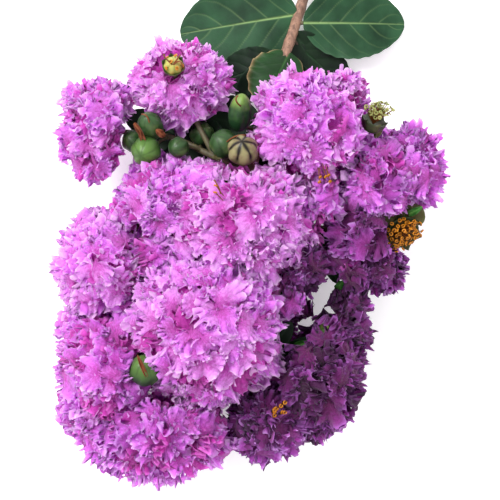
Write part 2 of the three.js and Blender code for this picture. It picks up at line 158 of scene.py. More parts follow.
# The stem and the boughs.
# One woody stem runs from the cut to the tip of the panicle, with thin tan bark that splits along
# its length. Green-brown boughs grow out of it and carry the flower heads.
# From here on sizes are millimetres, as in the source, and put_in turns them to metres.
MM_PER_PIXEL = 0.31
ORIGIN_X = 246.84
ORIGIN_Y = 224.1
LOWERED = 0.814  # the source lowers the whole branch by this much on to the surface
LIMB_SIDES = 20
LIMB_STEP = 0.7
JOINT_STEP = 13  # from one swollen joint to the next
JOINT_HALF = 1.1
BARK_GRAIN = 900  # streaks to the metre
LIMBS = {  # column, row and height of its knots, and its radius at its root and at its tip
    "main_stem": (
        [
            [313, -36, 3.35], [301, 5, 7], [291, 36, 12.5], [268, 105, 25],
            [238, 230, 34], [205, 335, 34], [172, 418, 27],
        ],
        1.75,
        0.9,
    ),
    "left_bough": ([[254, 170, 30], [215, 157, 33], [170, 137, 29], [100, 130, 27]], 1.1, 0.75),
    "upper_left_bough": ([[215, 157, 33], [198, 125, 31], [182, 92, 29]], 0.9, 0.7),
    "right_bough": ([[262, 130, 28], [312, 132, 33], [370, 165, 29], [406, 169, 26]], 1.1, 0.75),
    "right_lower_bough": ([[244, 205, 33.5], [300, 222, 30], [354, 238, 26]], 1.1, 0.75),
    "shoulder_bough": ([[238, 230, 34], [195, 213, 34], [152, 212, 32], [112, 266, 29]], 1.1, 0.75),
    "flank_bough": ([[218, 295, 34.5], [165, 335, 31], [115, 368, 28]], 1.1, 0.75),
    "lower_right_bough": ([[205, 335, 34], [265, 360, 29], [320, 370, 26]], 1.1, 0.75),
}


def at(column, row, height):
    """The place over a pixel of the picture, at a height above the surface."""
    return np.array([(column - ORIGIN_X) * MM_PER_PIXEL, (ORIGIN_Y - row) * MM_PER_PIXEL, height])


def chance(key):
    """The same number from 0 to 1 for the same key: what follows the point in a steep sine."""
    wave = np.sin(np.asarray(key, float) * 12.9898 + 78.233) * 43758.5453
    return wave - np.floor(wave)


def between(low, high, key):
    """A number from low to high, the same for the same key."""
    return low + (high - low) * chance(key)


def unit(vectors):
    """The same directions, one long."""
    return vectors / np.maximum(np.linalg.norm(vectors, axis=-1, keepdims=True), 1e-9)


def curve_through(knots):
    """A centripetal Catmull-Rom curve through the knots, as many short straight steps. Each
    stretch is a cubic whose slopes at its ends weigh the neighbouring stretches by the root of
    their lengths."""
    knots = np.array([at(*knot) for knot in knots])
    ends = np.vstack([2 * knots[0] - knots[1], knots, 2 * knots[-1] - knots[-2]])
    t = np.linspace(0, 1, 60, endpoint=False)[:, None]
    stretches = []
    for a, b, c, d in zip(ends, ends[1:], ends[2:], ends[3:]):
        before, here, after = (np.linalg.norm(q - p) ** 0.5 for p, q in ((a, b), (b, c), (c, d)))
        leaving = here * ((b - a) / before - (c - a) / (before + here)) + (c - b)
        arriving = here * ((d - c) / after - (d - b) / (here + after)) + (c - b)
        stretches.append(
            b
            + leaving * t
            + (3 * (c - b) - 2 * leaving - arriving) * t**2
            + (2 * (b - c) + leaving + arriving) * t**3
        )
    return np.vstack([*stretches, knots[-1:]])


def steps_of(path):
    """How long each step of a path is."""
    return np.linalg.norm(np.diff(path, axis=0), axis=1)


def run_of(path):
    """How far along a path each of its places is: the sum of the steps before it."""
    return np.concatenate([[0], np.cumsum(steps_of(path))])


def spaced(path, count):
    """As many places at equal steps along a path."""
    run = run_of(path)
    steps = np.linspace(0, run[-1], count)
    return np.stack([np.interp(steps, run, path[:, k]) for k in range(3)], axis=1)


def round_steps(count):
    """As many angles at equal steps round a circle."""
    return np.linspace(0, 2 * np.pi, count, endpoint=False)


def ringed(rings, foot, tip):
    """A closed form: rings of points joined each to the next, and the first and last ring joined
    to one point each. Seen from the tip, the points of a ring run against the clock."""
    count, sides = rings.shape[:2]
    here = np.arange(sides)
    after = (here + 1) % sides
    row = np.arange(count - 1)[:, None] * sides
    quads = np.stack([row + here, row + after, row + sides + after, row + sides + here], axis=-1)
    last = (count - 1) * sides
    caps = np.concatenate(
        [
            np.stack([np.full(sides, count * sides), after, here], axis=1),
            np.stack([np.full(sides, count * sides + 1), last + here, last + after], axis=1),
        ]
    )
    return np.vstack([rings.reshape(-1, 3), foot, tip]), quads.reshape(-1, 4), caps


def tube(path, radii):
    """A round bar: a ring of points about each place of the path, square to the way it runs. radii
    holds a number for each point of each ring."""
    ways = unit(np.gradient(path, axis=0))
    least = np.eye(3)[np.argmin(np.abs(ways.mean(axis=0)))]
    across = unit(np.cross(ways, least))
    other = np.cross(ways, across)
    turn = round_steps(radii.shape[1])[None, :, None]
    square = np.cos(turn) * across[:, None] + np.sin(turn) * other[:, None]
    return ringed(path[:, None] + radii[..., None] * square, path[0], path[-1])


def joined(forms):
    """Several closed forms as one set of places, quads and triangles."""
    places, quads, caps = zip(*forms)
    starts = np.cumsum([0, *map(len, places[:-1])])
    faces = [np.vstack([rows + start for rows, start in zip(kind, starts)]) for kind in (quads, caps)]
    return np.vstack(places), *faces


def put_in(name, form, finish, nodes, values=None, maps=None):
    """Puts a form into the scene as a piece that stands for CAD nodes."""
    places, quads, caps = form
    metres = (places - [0, 0, LOWERED]) / 1000
    piece = put_together(name, metres, [quads, caps], maps, values)
    piece.data.materials.append(finish)
    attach(piece, "root")
    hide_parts(*nodes)


def barked(path, root, tip, key, rough):
    """A limb's radius at each point: it tapers from root to tip, swells a little at each joint, and
    long ridges run up it, which wander round as they go."""
    steps = max(8, int(steps_of(path).sum() / LIMB_STEP))
    path = spaced(path, steps)
    along = np.linspace(0, 1, steps)[:, None]
    turn = round_steps(LIMB_SIDES)[None, :]
    run = along * steps_of(path).sum()
    ridges = sum(
        between(0.5, 1, key + k) * np.cos((3 + 2 * k) * turn + 2 * np.sin(run * 0.09 * (k + 1) + key + k))
        for k in range(4)
    )
    knots = np.exp(-(((run - JOINT_STEP * np.round(run / JOINT_STEP)) / JOINT_HALF) ** 2))
    pores = np.sin(run * 2.3 + 3 * np.sin(turn * 2 + key)) * np.sin(4 * turn + run * 0.7)
    radius = root + (tip - root) * along
    return path, radius * (1 + 0.10 * knots) + rough * (ridges * 0.35 + pores * 0.25)


def noise(tree, place, scale, detail):
    """Cloudy noise from 0 to 1."""
    return node(tree, "TexNoise", {"Vector": place, "Scale": scale, "Detail": detail}).outputs[0]


def spread(tree, value, low, high, to=(0, 1), **settings):
    """The span from low to high, stretched to another one and cut off at its ends."""
    spans = {"Value": value, "From Min": low, "From Max": high, "To Min": to[0], "To Max": to[1]}
    return node(tree, "MapRange", spans, **settings).outputs[0]


def mixed(tree, share, one, other):
    """The first colour where share is 0, the other where it is 1."""
    return node(tree, "Mix", {0: share, 6: one, 7: other}, data_type="RGBA").outputs[2]


def new_look(name, colours, numbers=(), more=()):
    """An empty group for a look that several finishes share, and its inputs. It puts out a colour,
    a height and perhaps more numbers."""
    group = bpy.data.node_groups.new(name, "ShaderNodeTree")
    sockets = [(key, "INPUT", "NodeSocketColor") for key in colours]
    sockets += [(key, "INPUT", "NodeSocketFloat") for key in numbers]
    sockets += [("Colour", "OUTPUT", "NodeSocketColor")]
    sockets += [(key, "OUTPUT", "NodeSocketFloat") for key in ("Height", *more)]
    for key, way, kind in sockets:
        group.interface.new_socket(key, in_out=way, socket_type=kind)
    return group, group.nodes.new("NodeGroupInput").outputs


def put_out(group, **sockets):
    """Gives a group what it puts out, by name."""
    out = group.nodes.new("NodeGroupOutput")
    for key, socket in sockets.items():
        group.links.new(socket, out.inputs[key])
    return group


def dressed(name, look, values, strength, depth, constants):
    """A finish that wears a shared look with its own values, colours by their codes. The look's
    height shows as relief, so strong and so many metres deep."""
    material, tree, output = new_finish(name)
    given = {key: colour(value) if isinstance(value, str) else value for key, value in values.items()}
    worn = node(tree, "Group", given, node_tree=look).outputs
    relief = {"Height": worn["Height"], "Strength": strength, "Distance": depth}
    shell = {"Base Color": worn["Colour"], "Normal": node(tree, "Bump", relief).outputs[0], **constants}
    if "Roughness" in worn:
        shell["Roughness"] = worn["Roughness"]
    tree.links.new(node(tree, "BsdfPrincipled", shell).outputs[0], output)
    return material


def bark_group():
    """Bark: pale and dark streaks along Y, small dark pores, and a fine grain that catches light."""
    group, given = new_look("bark", ("Light", "Dark"))
    place = node(group, "TexCoord").outputs["Object"]
    stretched = node(group, "Mapping", {"Vector": place, "Scale": (1, 0.22, 1)}).outputs[0]
    streaks = noise(group, stretched, BARK_GRAIN, 6.0)
    pores = noise(group, place, BARK_GRAIN * 2.2, 3.0)
    base = mixed(group, spread(group, streaks, 0.35, 0.65), given["Dark"], given["Light"])
    speckled = mixed(group, spread(group, pores, 0.6, 0.7), base, colour("4b3626"))
    return put_out(group, Colour=speckled, Height=streaks)


bark_look = bark_group()


def wood(name, light, dark):
    """A finish of bark in two colours."""
    return dressed(name, bark_look, {"Light": light, "Dark": dark}, 0.5, 0.0004, {"Roughness": 0.62})


bark = wood("bark", "94705c", "5e4236")
green_wood = wood("green_wood", "565032", "38321e")

limb_paths = {name: curve_through(knots) for name, (knots, _, _) in LIMBS.items()}
stem_path = limb_paths["main_stem"]
stem = tube(*barked(stem_path, *LIMBS["main_stem"][1:], 3, 0.11))
put_in("main_stem_bark", stem, bark, ["main_stem"])
bough_names = [name for name in LIMBS if name != "main_stem"]
boughs = [
    tube(*barked(limb_paths[name], *LIMBS[name][1:], 7 * k, 0.07)) for k, name in enumerate(bough_names)
]
put_in("boughs_bark", joined(boughs), green_wood, bough_names)

# The leaves.
# Five opposite leaves near the cut: thin, leathery and dark green, with a pale midrib, and side
# veins that curve into the wavy margin. Each sits on the stem by a short leaf stalk.
LEAF_THICKNESS = 0.4
SIDE_VEINS = 5.2  # on each side of the midrib
LEAF_FRILL = 0.22  # how high the margin's small waves stand,
FOLDED_FRILL = 1.1  # and how high on the small folded leaf
LEAVES = {
    "leaf_large_left": ([299, 9, 8.5], [178, 28, 2.4], 27, 2, 1, 1),
    "leaf_large_right": ([304, 18, 10], [409, 18, 2.6], 23, 2.5, 1.5, 2),
    "leaf_small_folded": ([290, 49, 16], [262, 107, 26], 18.5, 2, -2.2, 3),
    "leaf_back_left": ([283, 58, 14], [216, 78, 7], 15, 2, 1, 4),
    "leaf_back_right": ([296, 38, 10], [352, 88, 3], 15, 0.5, 1, 5),
}


def leaf(foot, tip, width, arch, cup, seed, stations=150, around=144, frilled=LEAF_FRILL):
    """A leaf: at each station along it a flat loop runs out to one margin over the top and back
    underneath. Its half width is a power of a sine of the way along. It arches up by a sine, cups
    with the square of the way across, waves at its margin, and its veins are pressed in. Also
    gives how far each point lies in a vein, and how near to the margin."""
    foot, tip = at(*foot), at(*tip)
    along = unit(tip - foot)
    across = unit(np.cross([0, 0, 1], along))
    up = np.cross(along, across)
    u = np.linspace(0.004, 0.996, stations)[:, None]
    turn = round_steps(around)[None, :]
    v = np.cos(turn) * np.abs(np.cos(turn)) ** 0.6
    outline = np.sin(np.pi * u**0.85) ** 0.55
    wave = 0.5 * np.sin(11 * u + 2 * seed + 2 * np.sign(v)) * np.abs(v) * outline
    frill = frilled * np.sin(37 * u + seed + 3 * np.sign(v)) * np.abs(v) ** 3 * outline
    order = (u - 0.3 * np.abs(v) - 0.12 * np.abs(v) ** 4) * SIDE_VEINS + 0.25 * np.sign(v)
    nearest = np.abs(order - np.round(order))
    side_vein = np.exp(-((nearest / 0.04) ** 2)) * (1 - 0.7 * np.abs(v))
    midrib = np.exp(-((v * width / 2 * outline / (0.34 - 0.2 * u)) ** 2)) * np.ones_like(u)
    quilt = 0.13 * np.cos(2 * np.pi * order) * np.sqrt(np.abs(v)) * (1 - np.abs(v)) * outline
    sink = 0.3 * midrib * (1 - 0.6 * u) + 0.14 * side_vein
    lift = arch * np.sin(np.pi * u) + cup * v**2 * outline + wave + frill - quilt - sink
    half = 0.5 * width * np.maximum(0.03, outline) * (1 + 0.012 * np.sin(60 * u + seed))
    thick = 0.5 * LEAF_THICKNESS * np.sign(np.sin(turn)) * np.abs(np.sin(turn)) ** 0.5
    reach = np.linalg.norm(tip - foot)
    rings = (
        foot
        + along * (u * reach)[..., None] * np.ones_like(turn)[..., None]
        + across * (half * v)[..., None]
        + up * (lift + thick)[..., None]
    )
    rings[..., 2] = np.maximum(rings[..., 2], LOWERED + LEAF_THICKNESS / 2 + thick)
    veins = np.clip(np.maximum(midrib * (1.0 - 0.6 * u), 0.24 * side_vein), 0, 1)
    margin = np.abs(v) ** 20 * np.ones_like(u)
    ends = [rings[0].mean(axis=0), rings[-1].mean(axis=0)]
    values = {
        "vein": np.append(veins.ravel(), [1, 1]),
        "margin": np.append(margin.ravel(), [0, 1]),
    }
    return ringed(rings, *ends), values


def value_of(tree, attribute):
    """What the mesh holds at each point under a name."""
    return node(tree, "Attribute", attribute_name=attribute).outputs["Fac"]


def leaf_group():
    """A leathery green that is mottled at two scales, with other colours in its veins and at its
    rim. It is rougher in some patches."""
    group, given = new_look("leaf", ("Dark", "Light", "Vein", "Rim"), ("Rough",), ("Roughness",))
    place = node(group, "TexCoord").outputs["Object"]
    patches = noise(group, place, 110.0, 4.0)
    cells = node(group, "TexVoronoi", {"Vector": place, "Scale": 1500.0}).outputs[0]
    base = mixed(group, spread(group, patches, 0.3, 0.7), given["Dark"], given["Light"])
    with_veins = mixed(group, value_of(group, "vein"), base, given["Vein"])
    with_rim = mixed(group, value_of(group, "margin"), with_veins, given["Rim"])
    roughest = node(group, "Math", {0: given["Rough"], 1: 0.2}, operation="ADD").outputs[0]
    roughness = spread(group, patches, 0, 1, (given["Rough"], roughest))
    return put_out(group, Colour=with_rim, Height=cells, Roughness=roughness)


leaf_look = leaf_group()


def leaf_finish(name, dark, light, vein, rim, rough, shine):
    """A leaf in its own colours."""
    values = {"Dark": dark, "Light": light, "Vein": vein, "Rim": rim, "Rough": rough}
    return dressed(name, leaf_look, values, 0.1, 0.0002, {"Specular IOR Level": shine})


leaf_green = leaf_finish("leaf_green", "162f1e", "2a4d33", "829e66", "34533a", 0.42, 0.12)
young_green = leaf_finish("young_green", "0e280e", "193f1a", "2c5424", "9c8460", 0.45, 0.18)
shaded_green = leaf_finish("shaded_green", "0a1a10", "182e1a", "28422a", "162e1c", 0.5, 0.2)
for name, finish in zip(LEAVES, [leaf_green, leaf_green, young_green, shaded_green, shaded_green]):
    frilled = FOLDED_FRILL if name == "leaf_small_folded" else LEAF_FRILL
    form, values = leaf(*LEAVES[name], frilled=frilled)
    put_in(f"{name}_blade", form, finish, [name], values)


def nearest_in(places, place):
    """The number of the place that is nearest to another one."""
    return int(np.argmin(np.linalg.norm(places - place, axis=1)))


leaf_stalks = []
for foot, tip, *_ in LEAVES.values():
    foot, tip = at(*foot), at(*tip)
    root = stem_path[nearest_in(stem_path, foot)]
    t = np.linspace(0, 1, 12)[:, None]
    line = root + (foot - root) * t + unit(tip - foot) * 2.0 * t**2 - [0, 0, 0.25]
    leaf_stalks.append(tube(line, 0.85 - 0.35 * t * np.ones((1, 10))))
put_in("leaf_stalks", joined(leaf_stalks), green_wood, list(LEAVES))

# The bracts.
# Small leaves on the boughs, deep among the flower heads, seen in the gaps between them.
# Their dark green is painted shade, and some stand in gaps where there is only shadow.
BRACTS = [
    ([262, 358, 29.5], [292, 322, 34], 8, 1.5, 1, 11),
    ([280, 362, 28.5], [313, 338, 31], 6.5, 1, 1, 12),
    ([275, 360, 28.8], [305, 352, 34], 5, 1, 1.2, 13),
    ([318, 229, 29], [338, 284, 25], 6, 2, 1, 14),
    ([165, 335, 31], [146, 388, 27], 11, 1, 1.5, 15),
    ([190, 318, 32.5], [172, 392, 26], 10, 2, 1, 16),
    ([150, 347, 30], [124, 330, 26], 8, 1, 1, 17),
    ([233, 243, 34], [250, 252, 52], 4.5, 1, 1, 18),
    ([238, 230, 34], [140, 300, 25], 12, 4, 1, 19),
    ([294, 28, 11], [320, 62, 5], 11, 1, 1, 21),
    ([284, 58, 15], [306, 92, 9], 10, 1, 1, 22),
    ([282, 62, 15.5], [236, 96, 10], 11, 1, 1, 23),
    ([262, 130, 23], [193, 112, 15], 17, 2, 1, 24),
    ([222, 158, 27], [186, 122, 18], 14, 2, 1, 25),
    ([254, 170, 26], [208, 132, 21], 12, 1, 1, 26),
    ([172, 137, 25], [212, 164, 21], 11, 1, 1, 27),
    ([264, 132, 24], [276, 172, 17], 10, 1, 1, 28),
    ([170, 137, 25], [128, 148, 20], 9, 1, 1, 29),
    ([215, 157, 27], [164, 126, 20], 13, 1, 1, 30),
    ([178, 141, 24], [134, 147, 20], 9, 1, 1, 31),
    ([156, 124, 22], [124, 116, 22], 8, 1, 1, 32),
    ([262, 304, 26], [298, 300, 25], 9, 1, 1, 33),
    ([206, 256, 30], [128, 274, 24], 13, 1, 1, 35),
    ([254, 272, 31], [298, 282, 24], 9, 1, 1, 36),
    ([180, 146, 24], [158, 114, 20], 9, 1, 1, 34),
]


def small_leaves(name, blades, finish, nodes):
    """Leaves of fewer faces, put in together as one piece."""
    made = [leaf(*blade, stations=16, around=20) for blade in blades]
    values = {key: np.concatenate([own[key] for _, own in made]) for key in ("vein", "margin")}
    put_in(name, joined([form for form, _ in made]), finish, nodes, values)


small_leaves("bracts", BRACTS, shaded_green, [*bough_names, "main_stem"])

# The young shoots.
# Small bright green leaf tips that peep out between the petals, each on a thin stalk from its bough.
SHOOTS = [
    ([243, 262, 54], [251, 246, 60], 4.0, 0.4, 0.5, 51),
    ([408, 215, 34], [421, 207, 38], 2.2, 0.3, 0.5, 52),
    ([294, 345, 36], [311, 341, 40], 2.2, 0.6, 0.5, 53),
    ([336, 290, 27], [344, 280, 32], 2.4, 0.4, 0.5, 54),
]
SHOOT_LIMBS = ["main_stem", "right_lower_bough", "lower_right_bough"]
SHOOT_STALK_RADIUS = 0.4
fresh_green = leaf_finish("fresh_green", "1c4a18", "367228", "649a4c", "2e6024", 0.45, 0.2)
small_leaves("young_shoots", SHOOTS, fresh_green, SHOOT_LIMBS)
woody = np.vstack(list(limb_paths.values()))
shoot_stalks = []
for foot, *_ in SHOOTS:
    foot = at(*foot)
    root = woody[nearest_in(woody, foot)]
    line = spaced(np.array([root, (root + foot) / 2 - [0, 0, 1], foot]), 8)
    shoot_stalks.append(tube(line, np.full((8, 8), SHOOT_STALK_RADIUS)))
put_in("shoot_stalks", joined(shoot_stalks), green_wood, SHOOT_LIMBS)

# The flower heads and where their blooms sit.
# Each head is an ellipsoid of blooms on its bough. The blooms stand evenly over the outside of all
# heads together, each on its axis, with its calyx's mouth some way in.
BLOOMS = 35
CANDIDATES = 240
GOLDEN_ANGLE = math.pi * (3 - math.sqrt(5))
VIEW_BIAS = 0.12
SEAT_DEPTH = 10.5
SEAT_SHARE = 0.6
HEADS = {
    "far_left": ([98, 131, 27], [13.5, 17.5, 14.5], "left_bough"),
    "upper_left": ([181, 84, 29], [16.5, 14.5, 14.5], "upper_left_bough"),
    "upper_right": ([309, 131, 33], [21.5, 20.5, 21], "right_bough"),
    "joint": ([376, 184, 29], [14, 16, 17], "right_bough"),
    "far_right": ([409, 168, 26], [12, 14.5, 14], "right_bough"),
    "right": ([362, 240, 26], [16, 18, 20], "right_lower_bough"),
    "bridge": ([299, 268, 27], [11.5, 15, 21], "right_lower_bough"),
    "shoulder": ([164, 207, 32], [18, 17, 24], "shoulder_bough"),
    "left": ([110, 270, 29], [18, 18.5, 25], "shoulder_bough"),
    "middle": ([238, 222, 33], [27, 23.5, 31], "main_stem"),
    "flank": ([114, 368, 28], [18, 25, 26], "flank_bough"),
    "heart": ([205, 325, 34], [29, 27, 33], "main_stem"),
    "tip": ([158, 430, 27], [26, 17.5, 26], "main_stem"),
    "low": ([266, 420, 24], [14, 15, 19], "lower_right_bough"),
    "lower_right": ([317, 365, 26], [15.5, 23.5, 25], "lower_right_bough"),
}
head_names = list(HEADS)
head_middles = np.array([at(*HEADS[name][0]) for name in head_names])
head_radii = np.array([HEADS[name][1] for name in head_names], float)


def outside_of(middles, radii, count):
    """Places on the outside of some ellipsoids together: count steps of a golden spiral over each,
    less those inside another one. Gives each place's ellipsoid, the place, its direction on a ball,
    and how far it is from the nearest other ellipsoid's middle, for that one's radius."""
    step = np.arange(count)
    rise = 1 - (2 * step + 1) / count
    level = np.sqrt(1 - rise**2)
    spiral = np.stack(
        [level * np.cos(GOLDEN_ANGLE * step), level * np.sin(GOLDEN_ANGLE * step), rise], axis=1
    )
    faces = middles[:, None] + spiral * radii[:, None]
    within = np.linalg.norm((faces[:, :, None] - middles) / radii, axis=-1)
    own = np.arange(len(middles))
    within[own, :, own] = 2
    head, step = np.nonzero((within > 1).all(axis=-1))
    return head, faces[head, step], spiral[step], within[head, step].min(axis=-1)


def spread_over(places, weight, chosen, count):
    """Adds the place farthest from all that are chosen, until there are count. Distances count
    times the place's weight."""
    gaps = np.linalg.norm(places[:, None] - places[chosen], axis=-1).min(axis=1)
    while len(chosen) < count:
        chosen.append(int(np.argmax(weight * gaps)))
        gaps = np.minimum(gaps, np.linalg.norm(places - places[chosen[-1]], axis=1))
    return chosen


candidate_head, candidate_face, candidate_out, _ = outside_of(head_middles, head_radii, CANDIDATES)
tops = [
    int(np.flatnonzero(candidate_head == k)[np.argmax(candidate_face[candidate_head == k, 2])])
    for k in range(len(HEADS))
]
chosen = spread_over(candidate_face, 1 + VIEW_BIAS * candidate_out[:, 2], tops, BLOOMS)
bloom_head = candidate_head[chosen]
bloom_face = candidate_face[chosen]
bloom_axis = unit(candidate_out[chosen] / head_radii[bloom_head])
middle_gap = np.linalg.norm(bloom_face - head_middles[bloom_head], axis=1)
bloom_depth = np.minimum(SEAT_DEPTH, SEAT_SHARE * middle_gap)
bloom_seat = bloom_face - bloom_axis * bloom_depth[:, None]
bloom_key = 100.0 * (np.arange(BLOOMS) + 1)
bloom_names = [f"bloom_{i + 1}_{head_names[k]}" for i, k in enumerate(bloom_head)]

# The buds.
# Closed flowers: a round green calyx of six valves that meet in a star at the top, on a short
# stalk. The ripest has dried to beige, and its seams have turned dark.
BUD_FORMS = {  # how wide and how tall for its radius, half a seam's width, and how marked it is
    "bud_above_ripe": (0.76, 1.3, 0.2, 0.3),
    "bud_upper_left": (0.9, 1.15, 0.2, 0.35),
    "ripe_bud": (1, 1, 0.6, 1.2),
}
BUD_RINGS = 40
BUD_SIDES = 72
VALVES = 6
BUDS = {
    "ripe_bud": ([243, 152, 46], 4.7, [-0.05, 0.5, 0.86], "left_bough"),
    "bud_beside_ripe": ([224, 145, 39], 4.5, [-0.5, 0.5, 0.7], "left_bough"),
    "bud_above_ripe": ([240, 114, 37], 4.8, [0.1, 0.85, 0.5], "right_bough"),
    "bud_upper_left": ([151, 127, 38], 4.4, [-0.2, 0.6, 0.8], "left_bough"),
    "bud_lower_left": ([147, 152, 40], 4.6, [-0.3, -0.3, 0.9], "left_bough"),
    "bud_behind_left": ([133, 141, 30], 3.5, [-0.5, 0.3, 0.8], "left_bough"),
    "bud_back_pale": ([202, 134, 27], 3.8, [0.2, 0.5, 0.8], "left_bough"),
    "bud_back_olive": ([179, 148, 38], 3.2, [-0.6, -0.3, 0.7], "left_bough"),
    "bud_in_recess": ([147, 368, 50], 4.8, [0.1, 0.75, 0.65], "flank_bough"),
}
SPENT = {
    "stamens_upper_left": ([174, 68, 43], 3.4, [0.1, 0.3, 0.95], "upper_left_bough"),
    "stamens_upper_right": ([373, 122, 40], 3.9, [0.3, 0.85, 0.45], "right_bough"),
    "stamens_right": ([403, 232, 33], 5.2, [0.35, -0.35, 0.85], "right_lower_bough"),
}


def frame_of(axis):
    """Two directions square to an axis and to each other, the first of them level."""
    east = unit(np.cross([0.0, 0.0, 1.0], axis))
    return east, np.cross(axis, east)


def turned(radii, heights, foot, axis):
    """A form on an axis: each ring's radius and height at each of its points."""
    east, north = frame_of(axis)
    turn = round_steps(radii.shape[1])[None, :, None]
    rings = (
        foot
        + radii[..., None] * (np.cos(turn) * east + np.sin(turn) * north)
        + heights[..., None] * axis
    )
    return ringed(rings, rings[0].mean(axis=0), rings[-1].mean(axis=0))


def bud(middle, radius, axis, key, wide=1.0, tall=1.0, seam_half=0.2, marked=0.45):
    """A ball with a short point. Six seams run down from the point and fade out below the waist,
    each valve swells between its seams, and the skin is a little uneven. Also gives how deep each
    point lies in a seam, and how high up the bud."""
    h = np.linspace(0.01, 0.997, BUD_RINGS)[:, None] ** 0.9
    turn = round_steps(BUD_SIDES)[None, :]
    profile = np.sqrt(np.clip(1 - (2 * h - 1) ** 2, 0, 1)) ** 0.9 * (1 - 0.12 * (h > 0.5) * (h - 0.5))
    sector = VALVES * turn / (2 * np.pi) + 0.06 * np.sin(6 * h + key)
    off_seam = np.abs(sector - np.round(sector)) * 2 * np.pi / VALVES * radius * profile
    ragged = 1 + 0.35 * np.sin(17 * h + 5 * np.round(sector) + key)
    seam = marked * np.exp(-((off_seam / seam_half / ragged) ** 2)) * np.clip((h - 0.3) / 0.35, 0, 1)
    swell = 0.05 * np.cos(2 * np.pi * sector + np.pi) * np.sin(np.pi * h)
    uneven = 0.015 * np.sin(3 * turn + 5 * h + key) + 0.008 * np.sin(11 * turn - 9 * h + key)
    radii = radius * profile * (1 + swell + uneven) - 0.22 * seam
    heights = radius * (2.02 * h + 0.06 * np.clip((h - 0.93) / 0.07, 0, 1) ** 2) * np.ones_like(turn)
    form = turned(np.maximum(radii * wide, 0.02), heights * tall, middle - radius * tall * axis, axis)
    values = {
        "seam": np.append(np.minimum(seam.ravel(), 1), [0, min(marked, 1)]),
        "rise": np.append((h * np.ones_like(turn)).ravel(), [0, 1]),
    }
    return form, values


def skin_group():
    """A smooth skin that goes from its foot's colour to its crown's between two shares of the way
    up, with a flush in patches, dark seams and fine pores. The lighter crown is partly painted light
    from above, and the darker foot partly painted shade."""
    group, given = new_look("skin", ("Foot", "Crown", "Flush", "Seam"), ("Cap From", "Cap To"))
    place = node(group, "TexCoord").outputs["Object"]
    patches = noise(group, place, 260.0, 5.0)
    pores = noise(group, place, 2600.0, 2.0)
    rise = spread(group, value_of(group, "rise"), given["Cap From"], given["Cap To"])
    base = mixed(group, rise, given["Foot"], given["Crown"])
    patched = mixed(group, spread(group, patches, 0.5, 0.72), base, given["Flush"])
    seamed = mixed(group, value_of(group, "seam"), patched, given["Seam"])
    return put_out(group, Colour=seamed, Height=pores)


skin_look = skin_group()


def bud_finish(name, foot, crown, flush, seam, cap_from=0.0, cap_to=1.0):
    """A bud's skin in its own colours."""
    values = {"Foot": foot, "Crown": crown, "Flush": flush, "Seam": seam}
    values.update({"Cap From": cap_from, "Cap To": cap_to})
    constants = {"Roughness": 0.36, "Specular IOR Level": 0.28}
    return dressed(name, skin_look, values, 0.3, 0.0002, constants)


# The crowns are lighter than the feet, partly as painted light from above and painted shade below.
bud_green = bud_finish("bud_green", "12240e", "2e4a26", "4e6034", "141f10")
bud_fresh = bud_finish("bud_fresh", "1c3416", "4c6c2c", "3a5626", "1a2a12", 0.4, 0.95)
bud_capped = bud_finish("bud_capped", "16301a", "66823a", "2e4c26", "3a3818", 0.66, 0.86)
bud_beige = bud_finish("bud_beige", "3c2820", "807a54", "5c4636", "100a08", 0.1, 0.6)
BUD_FINISHES = {
    "ripe_bud": bud_beige,
    "bud_above_ripe": bud_capped,
    "bud_lower_left": bud_fresh,
    "bud_in_recess": bud_fresh,
}
spots = {**BUDS, **SPENT}
spot_names = list(spots)
spot_middle = np.array([at(*spots[name][0]) for name in spot_names])
spot_radius = np.array([spots[name][1] for name in spot_names])
spot_axis = unit(np.array([spots[name][2] for name in spot_names], float))

for k, name in enumerate(BUDS):
    form, values = bud(spot_middle[k], spot_radius[k], spot_axis[k], 5.0 * k, *BUD_FORMS.get(name, ()))
    finish = BUD_FINISHES.get(name, bud_green)
    put_in(f"{name}_valves", form, finish, [name], values)

# The stalks.
# Every flower and bud hangs on a thin green stalk that leaves its bough a little towards the
# bough's root and curves up to the foot of the calyx.
STALK_LEAN = 4
STALK_STEPS = 10
STALK_SIDES = 8
CALYX_HEIGHT = 6
NECK_DEPTH = 1.8


def stalk(neck, axis, path, key):
    """A thin bar along a curve of the second order: from the bough, by a point below the neck on
    the flower's axis, to the neck."""
    run = run_of(path)
    leaving = max(0, run[nearest_in(path, neck)] - STALK_LEAN)
    root = np.array([np.interp(leaving, run, path[:, k]) for k in range(3)])
    bend = 0.5 * (root + neck) - axis * 0.18 * np.linalg.norm(neck - root)
    t = np.linspace(0, 1, STALK_STEPS)[:, None]
    line = (1 - t) ** 2 * root + 2 * t * (1 - t) * bend + t**2 * neck
    turn = round_steps(STALK_SIDES)
    radii = 0.62 + 0.1 * np.cos(2 * np.pi * t) + 0.05 * np.cos(3 * turn + key)
    return tube(line, radii)


carriers = [HEADS[head_names[k]][2] for k in bloom_head] + [spots[name][3] for name in spot_names]
feet = np.vstack(
    [bloom_seat + bloom_axis * (1 - CALYX_HEIGHT), spot_middle - spot_axis * spot_radius[:, None]]
)
axes = np.vstack([bloom_axis, spot_axis])
stalks = [
    stalk(foot + axis * NECK_DEPTH, axis, limb_paths[carrier], k)
    for k, (foot, axis, carrier) in enumerate(zip(feet, axes, carriers))
]
put_in("stalks", joined(stalks), green_wood, bloom_names + spot_names)

# The calyces.
# A green bell with six ridges under each bloom, whose rim ends in six short teeth.
CALYX_RADIUS = 3.1
CALYX_SIDES = 36
CALYX_OUTLINE = [
    (0.25, 0.0), (0.62, 0.16), (0.84, 0.4), (0.93, 0.66), (1.0, 0.88), (1.08, 1.0),
    (0.98, 1.0), (0.8, 0.82), (0.55, 0.66), (0.2, 0.6),
]


